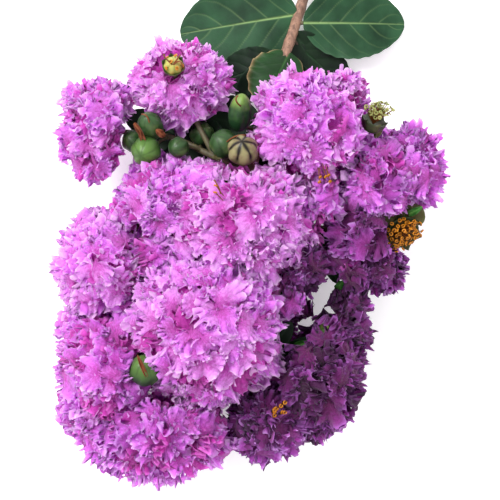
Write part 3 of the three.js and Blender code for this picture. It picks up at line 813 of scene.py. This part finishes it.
def calyx(foot, axis, radius, height):
    """A bell: it goes up its outside, over a rim that stands higher at six teeth, and down into a
    shallow cup. Six ridges run up it."""
    outline = np.array(CALYX_OUTLINE)
    turn = round_steps(CALYX_SIDES)[None, :]
    ridge = 0.06 * np.cos(VALVES * turn) + 0.03 * np.cos(2 * VALVES * turn)
    radii = radius * outline[:, :1] * (1 + ridge)
    rim = np.exp(-(((np.arange(len(outline)) - 5) / 0.9) ** 2))[:, None]
    teeth = 0.28 * rim * np.maximum(0, np.cos(VALVES * turn)) ** 1.5
    return turned(radii, height * (outline[:, 1:] + teeth), foot, axis)


calyx_green = bud_finish("calyx_green", "4c6a30", "5f7f3a", "7d8a48", "2c3a1c")
calyces = [
    calyx(seat + axis * (1 - CALYX_HEIGHT), axis, CALYX_RADIUS, CALYX_HEIGHT)
    for seat, axis in zip(bloom_seat, bloom_axis)
]
put_in("calyces", joined(calyces), calyx_green, bloom_names)

# The petals.
# Crape-thin petals, each a narrow claw that opens to a round blade. The blade's margin is far
# longer than the blade is round, so it gathers in deep ruffles with a ragged, pale edge, pale partly
# by painted light where the thin edge lets light through. Their claws stand on the calyx's rim, and
# the blades fill the bloom's room and lean on one another every way.
CLAW_HALF = 0.4
CLAW_SEAT = 1.5
CLAW_SWEEP = 0.45  # how far before the blade, for the claw's length, the claw turns its way
BLADE_LENGTH = 8.9
BLADE_SIZES = (0.75, 1.2)  # for that length
BLADE_RISE = (-0.2, 0.8)  # radians that a blade stands up from the head's outside,
BLADE_TWIST = (-0.5, 0.5)  # is turned about its own length,
BLADE_BEND = (-0.3, 1.2)  # and rolls back towards its end
PROBES = 8  # places round a blade where its room is measured
TIGHT = 1.25  # a blade that reaches further than this many times its room is made smaller,
SMALLEST = 0.55  # down to this share
MARGIN_TURN = 2.0  # radians from the blade's middle line to each end of its margin
PETAL_COLUMNS = 113
MERGE = 4  # one column of the lower rows stands for this many at the margin
CLAW_ROWS = np.array([0.0, 0.6])
BLADE_ROWS = np.array([0.1, 0.4, 0.62, 0.76, 0.86, 0.94, 1.0])
LOW_ROWS = 5
AIM_CANDIDATES = 700
OUTER_PETALS = 860
INNER_PETALS = 330
PETAL_BIAS = 0.25  # petals stand closer on the side that faces up,
CREASE_BIAS = 0.7  # and in the creases between two heads,
CREASE_WIDTH = 0.22  # which run this far out, for the other head's radius
OUTER_DEPTH = (0.0, 4.5)  # from the head's outside down to the middle of the blade
INNER_DEPTH = (4.0, 7.0)
STRAY = 4.0  # how far petals turn aside from the straight way out of their flower
SOFT_FROM = 0.85  # past this share of its room a petal is pressed in
OVERLAP = 1.75  # petals reach this many times half way to the next bloom,
BUD_SHARE = 1.25  # stay off a bud by this many times its radius
BUD_GAP = 0.3  # and this much more,
INWARD = 1.0  # and end this far inside the head
REACH_OVER = 1.5  # a bloom sends a petal to an aim up to this far outside its room
CLAW_STEPS = 9  # places along a claw where it must be clear of the windows
CLAW_SHARE = 0.25  # of the way up a petal on its map
OFF_TABLE = 0.1
BROAD_WAVES = (2.2, 1.4)  # how many there are along the margin, and how high they stand
RUFFLES = (8, 1.35)
FRILLS = (16, 0.42)
SCALLOPS = (28, 0.06)  # their height is a share of the blade
FLUTING = 0.2  # how far the scallops stand up and down by turns
OVERHANGS = (0.34, 0.1)  # how far the sides of the ruffles and of the frills lean over
CURL = 0.17  # the crests of the ruffles roll back by this share of the blade
PUCKERS = [(4.6, 0.85), (3.2, 0.6), (2.3, 0.36)]  # how long and how high
PETALS_A_PIECE = 150
LIGHT_THROUGH = 0.58  # the share of light that comes through a petal

# Where the table shows through the branch: from column and row to column and row, the height of the
# bottom, and half the width.
WINDOWS = [
    ((331, 281), (318, 307), 0, 1.8),
    ((305, 327), (305, 327), 0, 2.0),
    ((284, 335), (300, 337), 26, 2.2),
    ((122, 176), (113, 190), 0, 1.2),
]
WINDOW_MARGIN = 3.2  # no petal is aimed this near to a window's edge,
BUD_MARGIN = 1.0  # or this near to a bud
PUFFS = {  # small bulges of petals on the heads: middle, radii and shade, which is painted shade, darker where the bulge lies in shadow
    "above_lower_right": ([350, 304, 25], [6.5, 7, 11], 4.3),
    "beside_lower_right": ([357, 334, 24], [5, 9, 11], 4.3),
    "below_lower_right": ([314, 430, 22], [7, 6, 9], 4.2),
    "above_far_left": ([80, 98, 27], [6.5, 5.5, 9], 1.1),
    "beside_far_left": ([118, 98, 25], [6, 6, 8], 1.1),
    "above_left": ([92, 228, 25], [7, 7, 11], 0.8),
    "beside_left": ([71, 322, 24], [4.5, 7, 10], 1.0),
    "below_flank": ([73, 408, 22], [6, 9, 10], 1.6),
    "below_right": ([389, 272, 24], [6.5, 8, 10], 3.6),
    "beside_upper_right": ([350, 86, 33], [5, 5, 8], 0.8),
    "between_middle_and_heart": ([224, 266, 46], [13, 8, 12], 1.0),
    "between_left_and_heart": ([156, 260, 40], [10, 10, 12], 1.0),
    "between_heart_and_bridge": ([290, 302, 34], [7, 8, 13], 2.9),
    "between_middle_and_right": ([322, 200, 38], [6, 9, 12], 2.0),
}
mass_middles = np.vstack([head_middles, [at(*puff[0]) for puff in PUFFS.values()]])
mass_radii = np.vstack([head_radii, [puff[1] for puff in PUFFS.values()]])

HALF_HIDDEN = {  # how far off its middle it shows, and how much of its radius
    "bud_in_recess": ([-1.9, 0.3], 0.55),
    "bud_lower_left": ([-0.2, 1.6], 0.7),
    "bud_back_olive": ([0, 1.0], 0.75),
}
spot_aside, spot_shown = zip(*(HALF_HIDDEN.get(name, ([0, 0], 1)) for name in spot_names))

sites = np.vstack([bloom_seat, spot_middle])
bud_clearings = [
    (middle[:2] + aside, middle[:2] + aside, middle[2] - radius, radius * 1.08 * shown, BUD_MARGIN)
    for middle, radius, aside, shown in zip(spot_middle, spot_radius, spot_aside, spot_shown)
]
window_clearings = [
    (at(*foot, 0)[:2], at(*tip, 0)[:2], bottom, half, WINDOW_MARGIN)
    for foot, tip, bottom, half in WINDOWS
]
clearings = bud_clearings + window_clearings


def in_clearing(places, foot, tip, bottom, half):
    """Which places stand over a clearing, and the way out of its middle line for each."""
    line = tip - foot
    run = ((places[..., :2] - foot) @ line) / max(line @ line, 1e-6)
    sideways = places[..., :2] - foot - np.clip(run, 0, 1)[..., None] * line
    gap = np.linalg.norm(sideways, axis=-1)
    return (gap < half) & (places[..., 2] > bottom), unit(sideways)


def out_of_clearing(petals, aims, foot, tip, bottom, half):
    """How far each point of some petals has to move sideways so that its petal stays on its aim's
    side of a clearing: as far as the clearing's edge, straight along its aim's way out."""
    out = in_clearing(aims, foot, tip, bottom, half)[1][:, None, None]
    across = np.stack([-out[..., 1], out[..., 0]], axis=-1)
    line = tip - foot
    apart = petals[..., :2] - foot
    along, aside = (apart * out).sum(axis=-1), (apart * across).sum(axis=-1)
    width, depth = (line * across).sum(axis=-1), (line * out).sum(axis=-1)
    narrow = np.abs(width) < 0.05
    share = np.where(narrow, depth > 0, np.clip(aside / np.where(narrow, 1, width), 0, 1))
    beside = aside - share * width
    edge = share * depth + np.sqrt(np.maximum(half**2 - beside**2, 0))
    held = (np.abs(beside) < half) & (petals[..., 2] > bottom)
    return np.where(held, np.maximum(edge - along, 0), 0)[..., None] * out


def walls_of(i):
    """The planes between bloom i and each other flower: their directions and their distances."""
    towards = np.delete(sites, i, axis=0) - sites[i]
    gap = np.linalg.norm(towards, axis=1)
    tight = np.arange(len(gap)) >= BLOOMS - 1
    keep = np.concatenate([np.zeros(BLOOMS - 1), spot_radius * np.array(spot_shown)]) * BUD_SHARE + BUD_GAP
    distance = np.where(tight, gap - np.maximum(gap * 0.1, keep), gap / 2 * OVERLAP)
    return towards / gap[:, None], distance


def room_along(i, ways):
    """How far it is from bloom i's seat, in each direction, to the nearest wall or to where the
    line leaves the flower heads, which it may pass through in turn."""
    normals, distance = walls_of(i)
    facing = ways @ normals.T
    reach = np.where(facing > 1e-6, distance / np.maximum(facing, 1e-6), np.inf).min(axis=-1)
    outside = np.zeros(ways.shape[:-1])
    for k in [bloom_head[i], *range(len(mass_radii)), *range(len(mass_radii))]:
        radii = mass_radii[k] - INWARD
        start = (bloom_seat[i] - mass_middles[k]) / radii
        run = ways / radii
        a = (run**2).sum(axis=-1)
        b = run @ start
        inside = b**2 - a * ((start**2).sum() - 1)
        root = np.sqrt(np.maximum(inside, 0))
        through = (inside > 0) & ((-b - root) / a <= outside)
        outside = np.where(through, np.maximum(outside, (-b + root) / a), outside)
    return np.minimum(reach, outside)


def pucker(along, across, keys):
    """How far the crape stands up or down inside the blade: waves of a few lengths that cross it,
    each petal's in its own directions."""
    total = 0
    for k, (wavelength, height) in enumerate(PUCKERS):
        for turn in (0, 1):
            way = math.pi * (chance(keys + 40 + k) + 0.5 * turn)
            run = (np.cos(way) * along + np.sin(way) * across) / wavelength
            total = total + height * np.sin(2 * math.pi * (run + chance(keys + 50 + 3 * k + turn)))
    return total / 2


def margin_phase(kind, t, keys):
    """How far round its wave each point of the margin is. Each petal's key varies how many waves
    there are, where they start and how they crowd together."""
    count = kind[0] * between(0.8, 1.25, keys + 1)
    crowded = 0.13 * np.sin(math.pi * t * between(0.6, 1.6, keys + 2) + 6.3 * chance(keys + 3))
    return math.pi * count * (t + crowded) + 6.3 * chance(keys + 5)


def uneven_height(kind, t, keys):
    """How high the waves stand along the margin: some stretches are nearly flat."""
    return kind[1] * (1 + 0.5 * np.sin(3.3 * t + 6.3 * chance(keys + 4)))


def flat_blade(t, s, size, keys):
    """A blade before it is bent: how far along and across it each point is, and how far up or down
    the crape stands there. It is a fan that reaches less far at its sides. Ruffles and frills are
    sines round the margin, which grow towards it. Their sides lean over, so that the margin
    meanders, the crests of the ruffles roll back, and scallops cut into it."""
    ruffle = margin_phase(RUFFLES, t, keys)
    scallop = margin_phase(SCALLOPS, t, keys + 23) / 2
    broad = uneven_height(BROAD_WAVES, t, keys + 9) * np.sin(margin_phase(BROAD_WAVES, t, keys + 9))
    fine = margin_phase(FRILLS, t, keys + 17)
    frill = uneven_height(FRILLS, t, keys + 17) * np.sin(fine)
    lean = OVERHANGS[0] * np.sin(2 * ruffle) + s**3 * OVERHANGS[1] * np.sin(2 * fine)
    angle = MARGIN_TURN * t - s**2 * lean * 1.6 / BLADE_LENGTH
    reach = BLADE_LENGTH * size * np.cos(0.62 * MARGIN_TURN * t) ** 0.5 * (1 - 0.8 * t**6)
    notch = 1 - np.abs(np.sin(scallop))
    reach = reach * (1 - s**14 * uneven_height(SCALLOPS, t, keys + 23) * notch)
    reach = reach * (1 - s**3 * CURL * np.sin(ruffle))
    along = s * reach * np.cos(angle)
    across = s * reach * np.sin(angle) + CLAW_HALF * t * (1 - s)
    ruffled = s**1.6 * broad + s**2.3 * uneven_height(RUFFLES, t, keys) * np.sin(ruffle)
    finer = s**6 * frill + s**8 * FLUTING * np.sin(scallop)
    lift = (ruffled + finer + pucker(along, across, keys) * s * (1.5 - s)) * size
    return along, across, lift


def petals_of(i, aims, out, keys):
    """The petals of bloom i as grids of points: rows from claw to margin, columns round the blade.
    A flat blade is laid across its aim: it stands up a little from the head's outside, is turned
    about its own length, and rolls back towards its end. The claw runs on a curve of the second
    order from the calyx's rim into the blade. The petal is pressed into the bloom's room, which
    tends to its limit as a hyperbolic tangent, then lifted along its own normal, and last moved
    out of the clearings."""
    apart = aims - bloom_seat[i]
    stray = unit(np.cross(out, np.stack([between(-1, 1, keys + 25 + k) for k in range(3)], axis=1)))
    level = unit(apart - (apart * out).sum(axis=1, keepdims=True) * out + STRAY * stray)
    rise = between(*BLADE_RISE, keys + 27)[:, None]
    forward = np.cos(rise) * level + np.sin(rise) * out
    face = np.cos(rise) * out - np.sin(rise) * level
    side = np.cross(face, forward)
    twist = between(*BLADE_TWIST, keys + 31)[:, None]
    side, face = (
        np.cos(twist) * side + np.sin(twist) * face,
        np.cos(twist) * face - np.sin(twist) * side,
    )
    turn = 2 * math.pi * np.arange(PROBES)[:, None] / PROBES
    ring = np.cos(turn) * forward[:, None] + np.sin(turn) * side[:, None]
    probes = aims[:, None] + 0.5 * BLADE_LENGTH * ring - bloom_seat[i]
    over = np.linalg.norm(probes, axis=-1) / room_along(i, unit(probes))
    size = between(*BLADE_SIZES, keys + 28) * np.clip(TIGHT / over.max(axis=1), SMALLEST, 1)
    size = size[:, None, None]
    bend = between(*BLADE_BEND, keys + 29)[:, None, None]
    forward, face, side = forward[:, None, None], face[:, None, None], side[:, None, None]

    t = np.linspace(-1, 1, PETAL_COLUMNS)[None, None]
    along, across, lift = flat_blade(t, BLADE_ROWS[None, :, None], size, keys[:, None, None])
    foot = aims[:, None, None] - forward * 0.5 * BLADE_LENGTH * size[..., None]
    way = bend * np.clip(along / BLADE_LENGTH / size, 0, 1.2) ** 1.5 * 0.75
    blade = (
        foot
        + forward * (along * np.cos(way))[..., None]
        - face * (along * np.sin(way))[..., None]
        + side * across[..., None]
    )
    root = bloom_seat[i] + CLAW_SEAT * unit(apart)[:, None, None]
    turning = foot - forward * CLAW_SWEEP * np.linalg.norm(foot - root, axis=-1, keepdims=True)
    q = CLAW_ROWS[None, :, None, None]
    claw = (1 - q) ** 2 * root + 2 * q * (1 - q) * turning + q**2 * foot
    claw = claw + side * (CLAW_HALF * t)[..., None]
    offset = np.concatenate([claw, blade], axis=1) - bloom_seat[i]
    lift = np.concatenate([np.zeros(claw.shape[:-1]), lift], axis=1)

    far = np.maximum(np.linalg.norm(offset, axis=-1), 1e-6)
    ways = offset / far[..., None]
    room = room_along(i, ways)
    share = far / room
    rest = 1 - SOFT_FROM
    kept = np.where(share < SOFT_FROM, share, SOFT_FROM + rest * np.tanh((share - SOFT_FROM) / rest))
    pressed = bloom_seat[i] + ways * (room * kept)[..., None]
    normal = unit(np.cross(np.gradient(pressed, axis=1), np.gradient(pressed, axis=2)))
    petals = pressed + normal * lift[..., None]
    for *clearing, half, _ in clearings:
        petals[..., :2] += out_of_clearing(petals, aims, *clearing, half)
    petals[..., 2] = np.maximum(petals[..., 2], LOWERED + OFF_TABLE)
    return petals


def crepe_group():
    """The look shared by all petals, by the way up the petal and round it: from the throat's colour
    to the blade's and the rim's, with fine veins fanning out, and the height of veins and crinkles.
    The dark throat is partly painted shade deep in the flower, and the pale rim partly painted light
    where the thin edge lets light through."""
    group, given = new_look("crepe", ("Throat", "Blade", "Rim"))
    place = node(group, "UVMap", uv_map="OFBake").outputs[0]
    up = node(group, "SeparateXYZ", {0: place}).outputs[1]
    fanned = node(group, "Mapping", {"Vector": place, "Scale": (34, 2.5, 1)}).outputs[0]
    veins = noise(group, fanned, 1.0, 3.0)
    even = node(group, "Mapping", {"Vector": place, "Scale": (26, 12, 1)}).outputs[0]
    crinkle = noise(group, even, 1.0, 4.0)
    patchy_up = node(group, "Math", {0: crinkle, 1: 0.7, 2: up}, operation="MULTIPLY_ADD").outputs[0]
    # The throat's colour, partly painted shade, gives way to the blade's up the petal.
    opened = spread(group, patchy_up, 0.55, 1.25, interpolation_type="SMOOTHSTEP")
    # The pale rim is partly painted light, where the thin edge lets light through.
    edge = spread(group, up, 0.84, 1.02, interpolation_type="SMOOTHSTEP")
    low = mixed(group, opened, given["Throat"], given["Blade"])
    high = mixed(group, edge, low, given["Rim"])
    dim = spread(group, veins, 0.3, 0.7, (0.88, 1.06))
    patchy = spread(group, crinkle, 0.3, 0.7, (0.86, 1.12))
    shade = node(group, "Math", {0: dim, 1: patchy}, operation="MULTIPLY").outputs[0]
    tinted = node(group, "VectorMath", {0: high, "Scale": shade}, operation="SCALE").outputs[0]
    relief = node(group, "Math", {0: veins, 1: crinkle}, operation="ADD").outputs[0]
    return put_out(group, Colour=tinted, Height=relief)


crepe_look = crepe_group()


def petal_finish(name, throat, blade, rim):
    """Thin crape: a soft matt sheet that light also comes through."""
    material, tree, output = new_finish(name)
    values = {"Throat": colour(throat), "Blade": colour(blade), "Rim": colour(rim)}
    worn = node(tree, "Group", values, node_tree=crepe_look).outputs
    tint = worn["Colour"]
    relief = {"Height": worn["Height"], "Strength": 1.0, "Distance": 0.0005}
    normal = node(tree, "Bump", relief).outputs[0]
    sheet = {"Roughness": 0.55, "Sheen Weight": 0.25, "Specular IOR Level": 0.3}
    front = node(tree, "BsdfPrincipled", {"Base Color": tint, "Normal": normal, **sheet})
    through = node(tree, "BsdfTranslucent", {"Color": tint, "Normal": normal})
    both = node(tree, "MixShader", {0: LIGHT_THROUGH, 1: front.outputs[0], 2: through.outputs[0]})
    tree.links.new(both.outputs[0], output)
    return material


# The petal colours from light to dark, then the throat's: the darker ones are painted shade, for petals in
# shadow and for petals deep among the others.
PETAL_SHADES = [
    ("blush", "ec66de", "f8acff", "fdd8ff", "pale_petals"),
    ("orchid", "e45cd2", "f292fc", "f8ccff", "pale_petals"),
    ("rose", "d44ac4", "e67cee", "eebafa", "pale_petals"),
    ("magenta", "ae30a0", "be58c4", "d69ce6", "deep_petals"),
    ("plum", "7e1c6c", "8a3286", "a45cb2", "deep_petals"),
    ("dusk", "500e48", "5a1c58", "763c7c", "deep_petals"),
    # The throat's shade: a saturated magenta painted on petals that lie deep, as painted shade among them.
    ("throat", "ca34b2", "dc50c8", "ea7cde", "deep_petals"),
]
THROAT = len(PETAL_SHADES) - 1
THROAT_FROM = 3.8  # petals this deep take the throat's colour, painted shade deep among the petals, except on the dark heads,
DARK = 4  # whose painted shades are this and up, for the shadow at the lower right
PAINTED_SHADE_PER_MM = 0.25  # painted shade: shades deeper for each millimetre that a petal lies deeper
SHADE_STRAY = 0.8  # how far by chance a petal's shade is from its head's
# How dark each head's petals are painted: mostly painted shade, darkest on the heads at the lower right,
# which lie in the lamp's shadow, with some of each head's own tone.
PAINTED_SHADE_OF_HEAD = {
    "far_left": 1.1, "upper_left": 0.1, "upper_right": 0.6, "joint": 2.1, "far_right": 1.7,
    "right": 3.6, "bridge": 4.0, "shoulder": 1.2, "left": 0.5, "middle": 0.0, "flank": 1.6,
    "heart": 0.4, "tip": 1.9, "low": 3.7, "lower_right": 4.3,
}
painted_shade_of_mass = np.array([*(PAINTED_SHADE_OF_HEAD[name] for name in HEADS), *(puff[2] for puff in PUFFS.values())])


def petal_net():
    """Which points of a petal's grid are kept, and its faces by their numbers among those. The lower
    rows keep one column in a few, and a row of triangles joins them to the rows near the margin."""
    grid = np.arange((len(CLAW_ROWS) + len(BLADE_ROWS)) * PETAL_COLUMNS).reshape(-1, PETAL_COLUMNS)
    low, high = grid[:LOW_ROWS, ::MERGE], grid[LOW_ROWS:]
    kept = np.concatenate([low.ravel(), high.ravel()])
    number = np.zeros(grid.size, int)
    number[kept] = np.arange(len(kept))
    low, high = number[low], number[high]
    quads = np.vstack(
        [
            np.stack([net[:-1, :-1], net[:-1, 1:], net[1:, 1:], net[1:, :-1]], axis=-1).reshape(-1, 4)
            for net in (low, high)
        ]
    )
    left, right = low[-1, :-1], low[-1, 1:]
    above = [high[0, k : k + PETAL_COLUMNS - MERGE : MERGE] for k in range(MERGE + 1)]
    middle = MERGE // 2
    fans = [(left, right, above[middle])]
    fans += [(left, above[k + 1], above[k]) for k in range(middle)]
    fans += [(right, above[k + 1], above[k]) for k in range(middle, MERGE)]
    return kept, quads, np.vstack([np.stack(fan, axis=-1) for fan in fans])


aim_head, aim_place, aim_out, out_of_next = outside_of(mass_middles, mass_radii, AIM_CANDIDATES)
aim_normal = unit(aim_out / mass_radii[aim_head])
aim_weight = 1 + PETAL_BIAS * aim_out[:, 2] + CREASE_BIAS * (out_of_next < 1 + CREASE_WIDTH)
for *clearing, half, margin in clearings:
    aim_weight[in_clearing(aim_place, *clearing, half + margin)[0]] = 0
kept, quads, caps = petal_net()
up = np.concatenate([CLAW_ROWS * CLAW_SHARE, CLAW_SHARE + (1 - CLAW_SHARE) * BLADE_ROWS])
petal_map = np.stack(np.meshgrid(np.linspace(0, 1, PETAL_COLUMNS), up), axis=-1).reshape(-1, 2)[kept]


def add_petals(prefix, count, depth, first_key):
    """Spreads aims over the outside of the heads, some way below it. Each goes to the nearest bloom
    whose room it lies in and whose claw would cross no window, or to none. Its petal gets a shade
    near its head's painted shade, painted darker where it lies deeper, and all petals of one shade
    go in together. The map runs round the petal and up it."""
    aims = spread_over(aim_place, aim_weight, [int(first_key) % len(aim_place)], count)
    sunk = between(*depth, 3.7 * np.arange(count) + first_key)
    places = aim_place[aims] - aim_normal[aims] * sunk[:, None]
    away = np.linalg.norm(places[:, None] - bloom_seat, axis=-1)
    room = np.stack([room_along(i, unit(places - bloom_seat[i])) for i in range(BLOOMS)], axis=1)
    share = np.linspace(0, 1, CLAW_STEPS)[:, None, None, None]
    claws = bloom_seat + share * (places[:, None] - bloom_seat)
    for *clearing, half, _ in window_clearings:
        room[in_clearing(claws, *clearing, half)[0].any(axis=0)] = -np.inf
    reached = away < room + REACH_OVER
    owner = np.where(reached, away, np.inf).argmin(axis=1)
    free = reached.any(axis=1)
    grids = np.zeros((count, len(kept), 3))
    for i in range(BLOOMS):
        mine = np.flatnonzero(free & (owner == i))
        if len(mine):
            keys = bloom_key[i] + first_key + 7.0 * np.arange(len(mine))
            petals = petals_of(i, places[mine], aim_normal[aims][mine], keys)
            grids[mine] = petals.reshape(len(mine), -1, 3)[:, kept]
    luck = between(-SHADE_STRAY, SHADE_STRAY, 3.3 * np.arange(count) + first_key)
    # Painted shade: the head's own plus chance, darker where the petal lies deeper, and the throat's
    # colour for deep petals on the lighter heads.
    shade = painted_shade_of_mass[aim_head[aims]] + luck + PAINTED_SHADE_PER_MM * (sunk - 2)
    shade = np.clip(np.round(shade), 0, THROAT - 1)
    shade = np.where((shade < DARK) & (sunk > THROAT_FROM), THROAT, shade)
    for kind, (name, _, _, _, slot) in enumerate(PETAL_SHADES):
        members = np.flatnonzero(free & (shade == kind))
        for part in range(math.ceil(len(members) / PETALS_A_PIECE)):
            group = members[part * PETALS_A_PIECE : (part + 1) * PETALS_A_PIECE]
            starts = np.arange(len(group))[:, None, None] * len(kept)
            form = (
                grids[group].reshape(-1, 3),
                (quads + starts).reshape(-1, 4),
                (caps + starts).reshape(-1, 3),
            )
            nodes = [bloom_names[k] for k in np.unique(owner[group])]
            maps = {"OFBake": np.tile(petal_map, (len(group), 1))}
            put_in(f"{prefix}_{name}_{part + 1}", form, petal_finishes[kind], nodes, maps=maps)


petal_finishes = [petal_finish(f"petal_{name}", *codes) for name, *codes, _ in PETAL_SHADES]
add_petals("petals", OUTER_PETALS, OUTER_DEPTH, 0.0)
add_petals("inner_petals", INNER_PETALS, INNER_DEPTH, 4000.0)

# The stamens.
# Flowers past their petals: an open calyx that holds a tuft of thin stamens, each with a small ring
# of an anther. A few more stamens reach out between the petals of flowers that are still open.
STAMEN_TUFTS = {  # how far it is moved, how many stamens, how wide they fan out, how long they are
    # for the tuft's radius, and the line along which the fan is pulled out
    "stamens_upper_left": ([0, 0, 0], 6, 1.3, (0.8, 1.1), (0, 0)),
    "stamens_upper_right": ([0, 0, 0], 64, 0.8, (0.7, 1.6), (0.35, 0.1)),
    "stamens_right": ([-1.2, 0, 0], 64, 1.25, (0.6, 1.1), (0.55, 0.4)),
}
THREAD_RADIUS = 0.13
PEEKING_RADIUS = 0.14
ANTHER_RADIUS = 0.5
SEED_HEAD_RADIUS = 3.0
PEEKING = [  # the middle of a few stamens, how many, and how far from it they stray
    ([282, 408, 42.5], 11, 2.6),
    ([324, 177, 48.5], 6, 2.0),
    ([217, 190, 61], 3, 2.4),
]
THREAD_STEPS = 7
ANTHER_STEPS = 11


def thread(foot, tip, rise, radius):
    """A thin bar from foot to tip on an arch that stands off the straight line by rise."""
    t = np.linspace(0, 1, THREAD_STEPS)[:, None]
    line = foot + (tip - foot) * t + rise * 4 * t * (1 - t)
    return tube(line, np.full((THREAD_STEPS, 5), radius))


def anther(place, way, radius):
    """A grain bent into most of a ring, as thick as a third of the ring is wide."""
    east, north = frame_of(way)
    turn = np.linspace(0.4, 2 * np.pi - 0.4, ANTHER_STEPS)[:, None]
    line = place + radius * (np.cos(turn) * east + np.sin(turn) * north)
    return tube(line, np.full((ANTHER_STEPS, 6), radius * 0.42))


def tuft(middle, radius, axis, count, key, fan, lengths, stretch):
    """Threads that start close together and fan out by the same spiral as the petals, each with an
    anther at its end. The fan is pulled out along one slanting line, so that it is a band."""
    east, north = frame_of(axis)
    k = np.arange(count)
    tilt = fan * np.sqrt((k + 0.5) / count) * between(0.85, 1.15, key + k)
    turn = GOLDEN_ANGLE * k
    way = (
        np.cos(tilt)[:, None] * axis
        + (np.sin(tilt) * np.cos(turn))[:, None] * east
        + (np.sin(tilt) * np.sin(turn))[:, None] * north
    )
    tips = middle + way * (radius * between(*lengths, key + 3 * k))[:, None]
    slant = np.array([*stretch, 0.0])
    tips = tips + slant * ((tips - middle) @ slant)[:, None]
    threads = [thread(middle - axis * radius * 0.3, tip, axis * 0.3, THREAD_RADIUS) for tip in tips]
    aslant = unit(way + np.stack([between(-0.9, 0.9, key + 5 * k + j) for j in range(3)], axis=1))
    return threads, [anther(tip, facing, ANTHER_RADIUS) for tip, facing in zip(tips, aslant)]


thread_gold = bud_finish("thread_gold", "6a3a1c", "944824", "7a4024", "5a3a1c")
anther_gold = bud_finish("anther_gold", "b06c0c", "e09a18", "c07a10", "5a3a18")
anther_cream = bud_finish("anther_cream", "84884c", "dcd898", "b4b070", "4a5a2a")
spent_brown = bud_finish("spent_brown", "2e3a1c", "48542c", "4a4428", "26241a")
opened_green = bud_finish("opened_green", "6f7a34", "a3a055", "b08a48", "5c6a2c")
threads, cups = [], []
for k, name in enumerate(SPENT):
    place = len(BUDS) + k
    middle, radius, axis = spot_middle[place], spot_radius[place], spot_axis[place]
    shift, count, *fan = STAMEN_TUFTS[name]
    some_threads, anthers = tuft(middle + shift, radius, axis, count, 31.0 * k, *fan)
    threads += some_threads
    cups.append(calyx(middle - radius * axis, axis, radius * 0.95, radius * 1.05))
    finish = anther_cream if name == "stamens_upper_right" else anther_gold
    put_in(f"{name}_anthers", joined(anthers), finish, [name])
put_in("spent_calyces", joined(cups), spent_brown, list(SPENT))
seed_middle = spot_middle[len(BUDS)] - [0, 0, 0.8]
seed_head, values = bud(seed_middle, SEED_HEAD_RADIUS, spot_axis[len(BUDS)], 71.0)
put_in("opened_seed_head", seed_head, opened_green, ["stamens_upper_left"], values)

peeking_anthers, peeking_from = [], []
for number, (place, count, width) in enumerate(PEEKING):
    place = at(*place)
    carrier = nearest_in(bloom_seat, place)
    k = np.arange(count)
    shift = np.stack([between(-width, width, 900 + 17 * number + 3 * k + j) for j in range(3)], axis=1)
    facing = unit(bloom_axis[carrier] + 0.4 * shift[0])
    for tip in place + shift * [1, 1, 0.3]:
        threads.append(thread(bloom_seat[carrier], tip, bloom_axis[carrier] * 0.8, PEEKING_RADIUS))
        peeking_anthers.append(anther(tip, facing, ANTHER_RADIUS))
    peeking_from.append(bloom_names[carrier])
put_in("peeking_anthers", joined(peeking_anthers), anther_gold, peeking_from)
put_in("stamen_threads", joined(threads), thread_gold, [*SPENT, *peeking_from])

# The sepals and styles.
# Open calyces turn their six sepals out, and a style stays on the crown of each spent flower. Both
# are brown or rust red as they dry.
SEPALS = [  # foot, tip, width
    ([135, 124, 40], [147, 142, 43], 1.6), ([140, 129, 41], [143, 144, 43], 1.0),
    ([157, 131, 42], [166, 138, 41], 2.2), ([150, 375, 54], [140, 352, 55], 1.3),
    ([219, 152, 38], [212, 141, 41], 2.4), ([222, 156, 38], [213, 158, 41], 2.2),
    ([400, 226, 32], [382, 212, 34], 8.5), ([402, 222, 32], [396, 199, 33], 8.5),
    ([408, 222, 32], [421, 206, 33], 7.5), ([398, 232, 31], [383, 230, 32], 6.5),
    ([370, 132, 36], [362, 124, 37], 5.5), ([374, 131, 36], [381, 134, 36], 4.5),
]
DRY_SEPALS = 4  # the first of these are dry and rust red, and the rest olive
STYLE_RADIUS = 0.26
STYLES = [  # foot, tip, how far the arch stands off
    ([241, 108, 43], [238, 98, 46], [-1.0, 0, 1.0]),
    ([222, 200, 57], [215, 182, 59.5], [0.5, 0, 1.6]),
    ([174, 68, 45], [181, 59, 47], [0.8, 1.2, 1.0]),
    ([174, 68, 45], [166, 58, 47], [-1.2, 0.8, 1.0]),
    ([174, 68, 45], [184, 71, 46], [0.6, 1.6, 1.0]),
    ([224, 146, 42], [246, 137, 45], [0, 1.0, 1.6]),
    ([151, 127, 42], [143, 116, 43], [0.4, 1.0, 1.0]),
]
sepal_rust = leaf_finish("sepal_rust", "3e1c12", "6a3420", "784428", "844c38", 0.55, 0.15)
sepal_olive = leaf_finish("sepal_olive", "2e2c1a", "54502e", "6e6a42", "5a6a34", 0.5, 0.2)
for name, finish, some in (
    ("dry_sepals", sepal_rust, SEPALS[:DRY_SEPALS]),
    ("open_sepals", sepal_olive, SEPALS[DRY_SEPALS:]),
):
    blades = [(foot, tip, width, 0.8, 0.6, 40 + k) for k, (foot, tip, width) in enumerate(some)]
    small_leaves(name, blades, finish, spot_names)
styles = [thread(at(*foot), at(*tip), np.array(arch), STYLE_RADIUS) for foot, tip, arch in STYLES]
put_in("styles", joined(styles), thread_gold, spot_names)
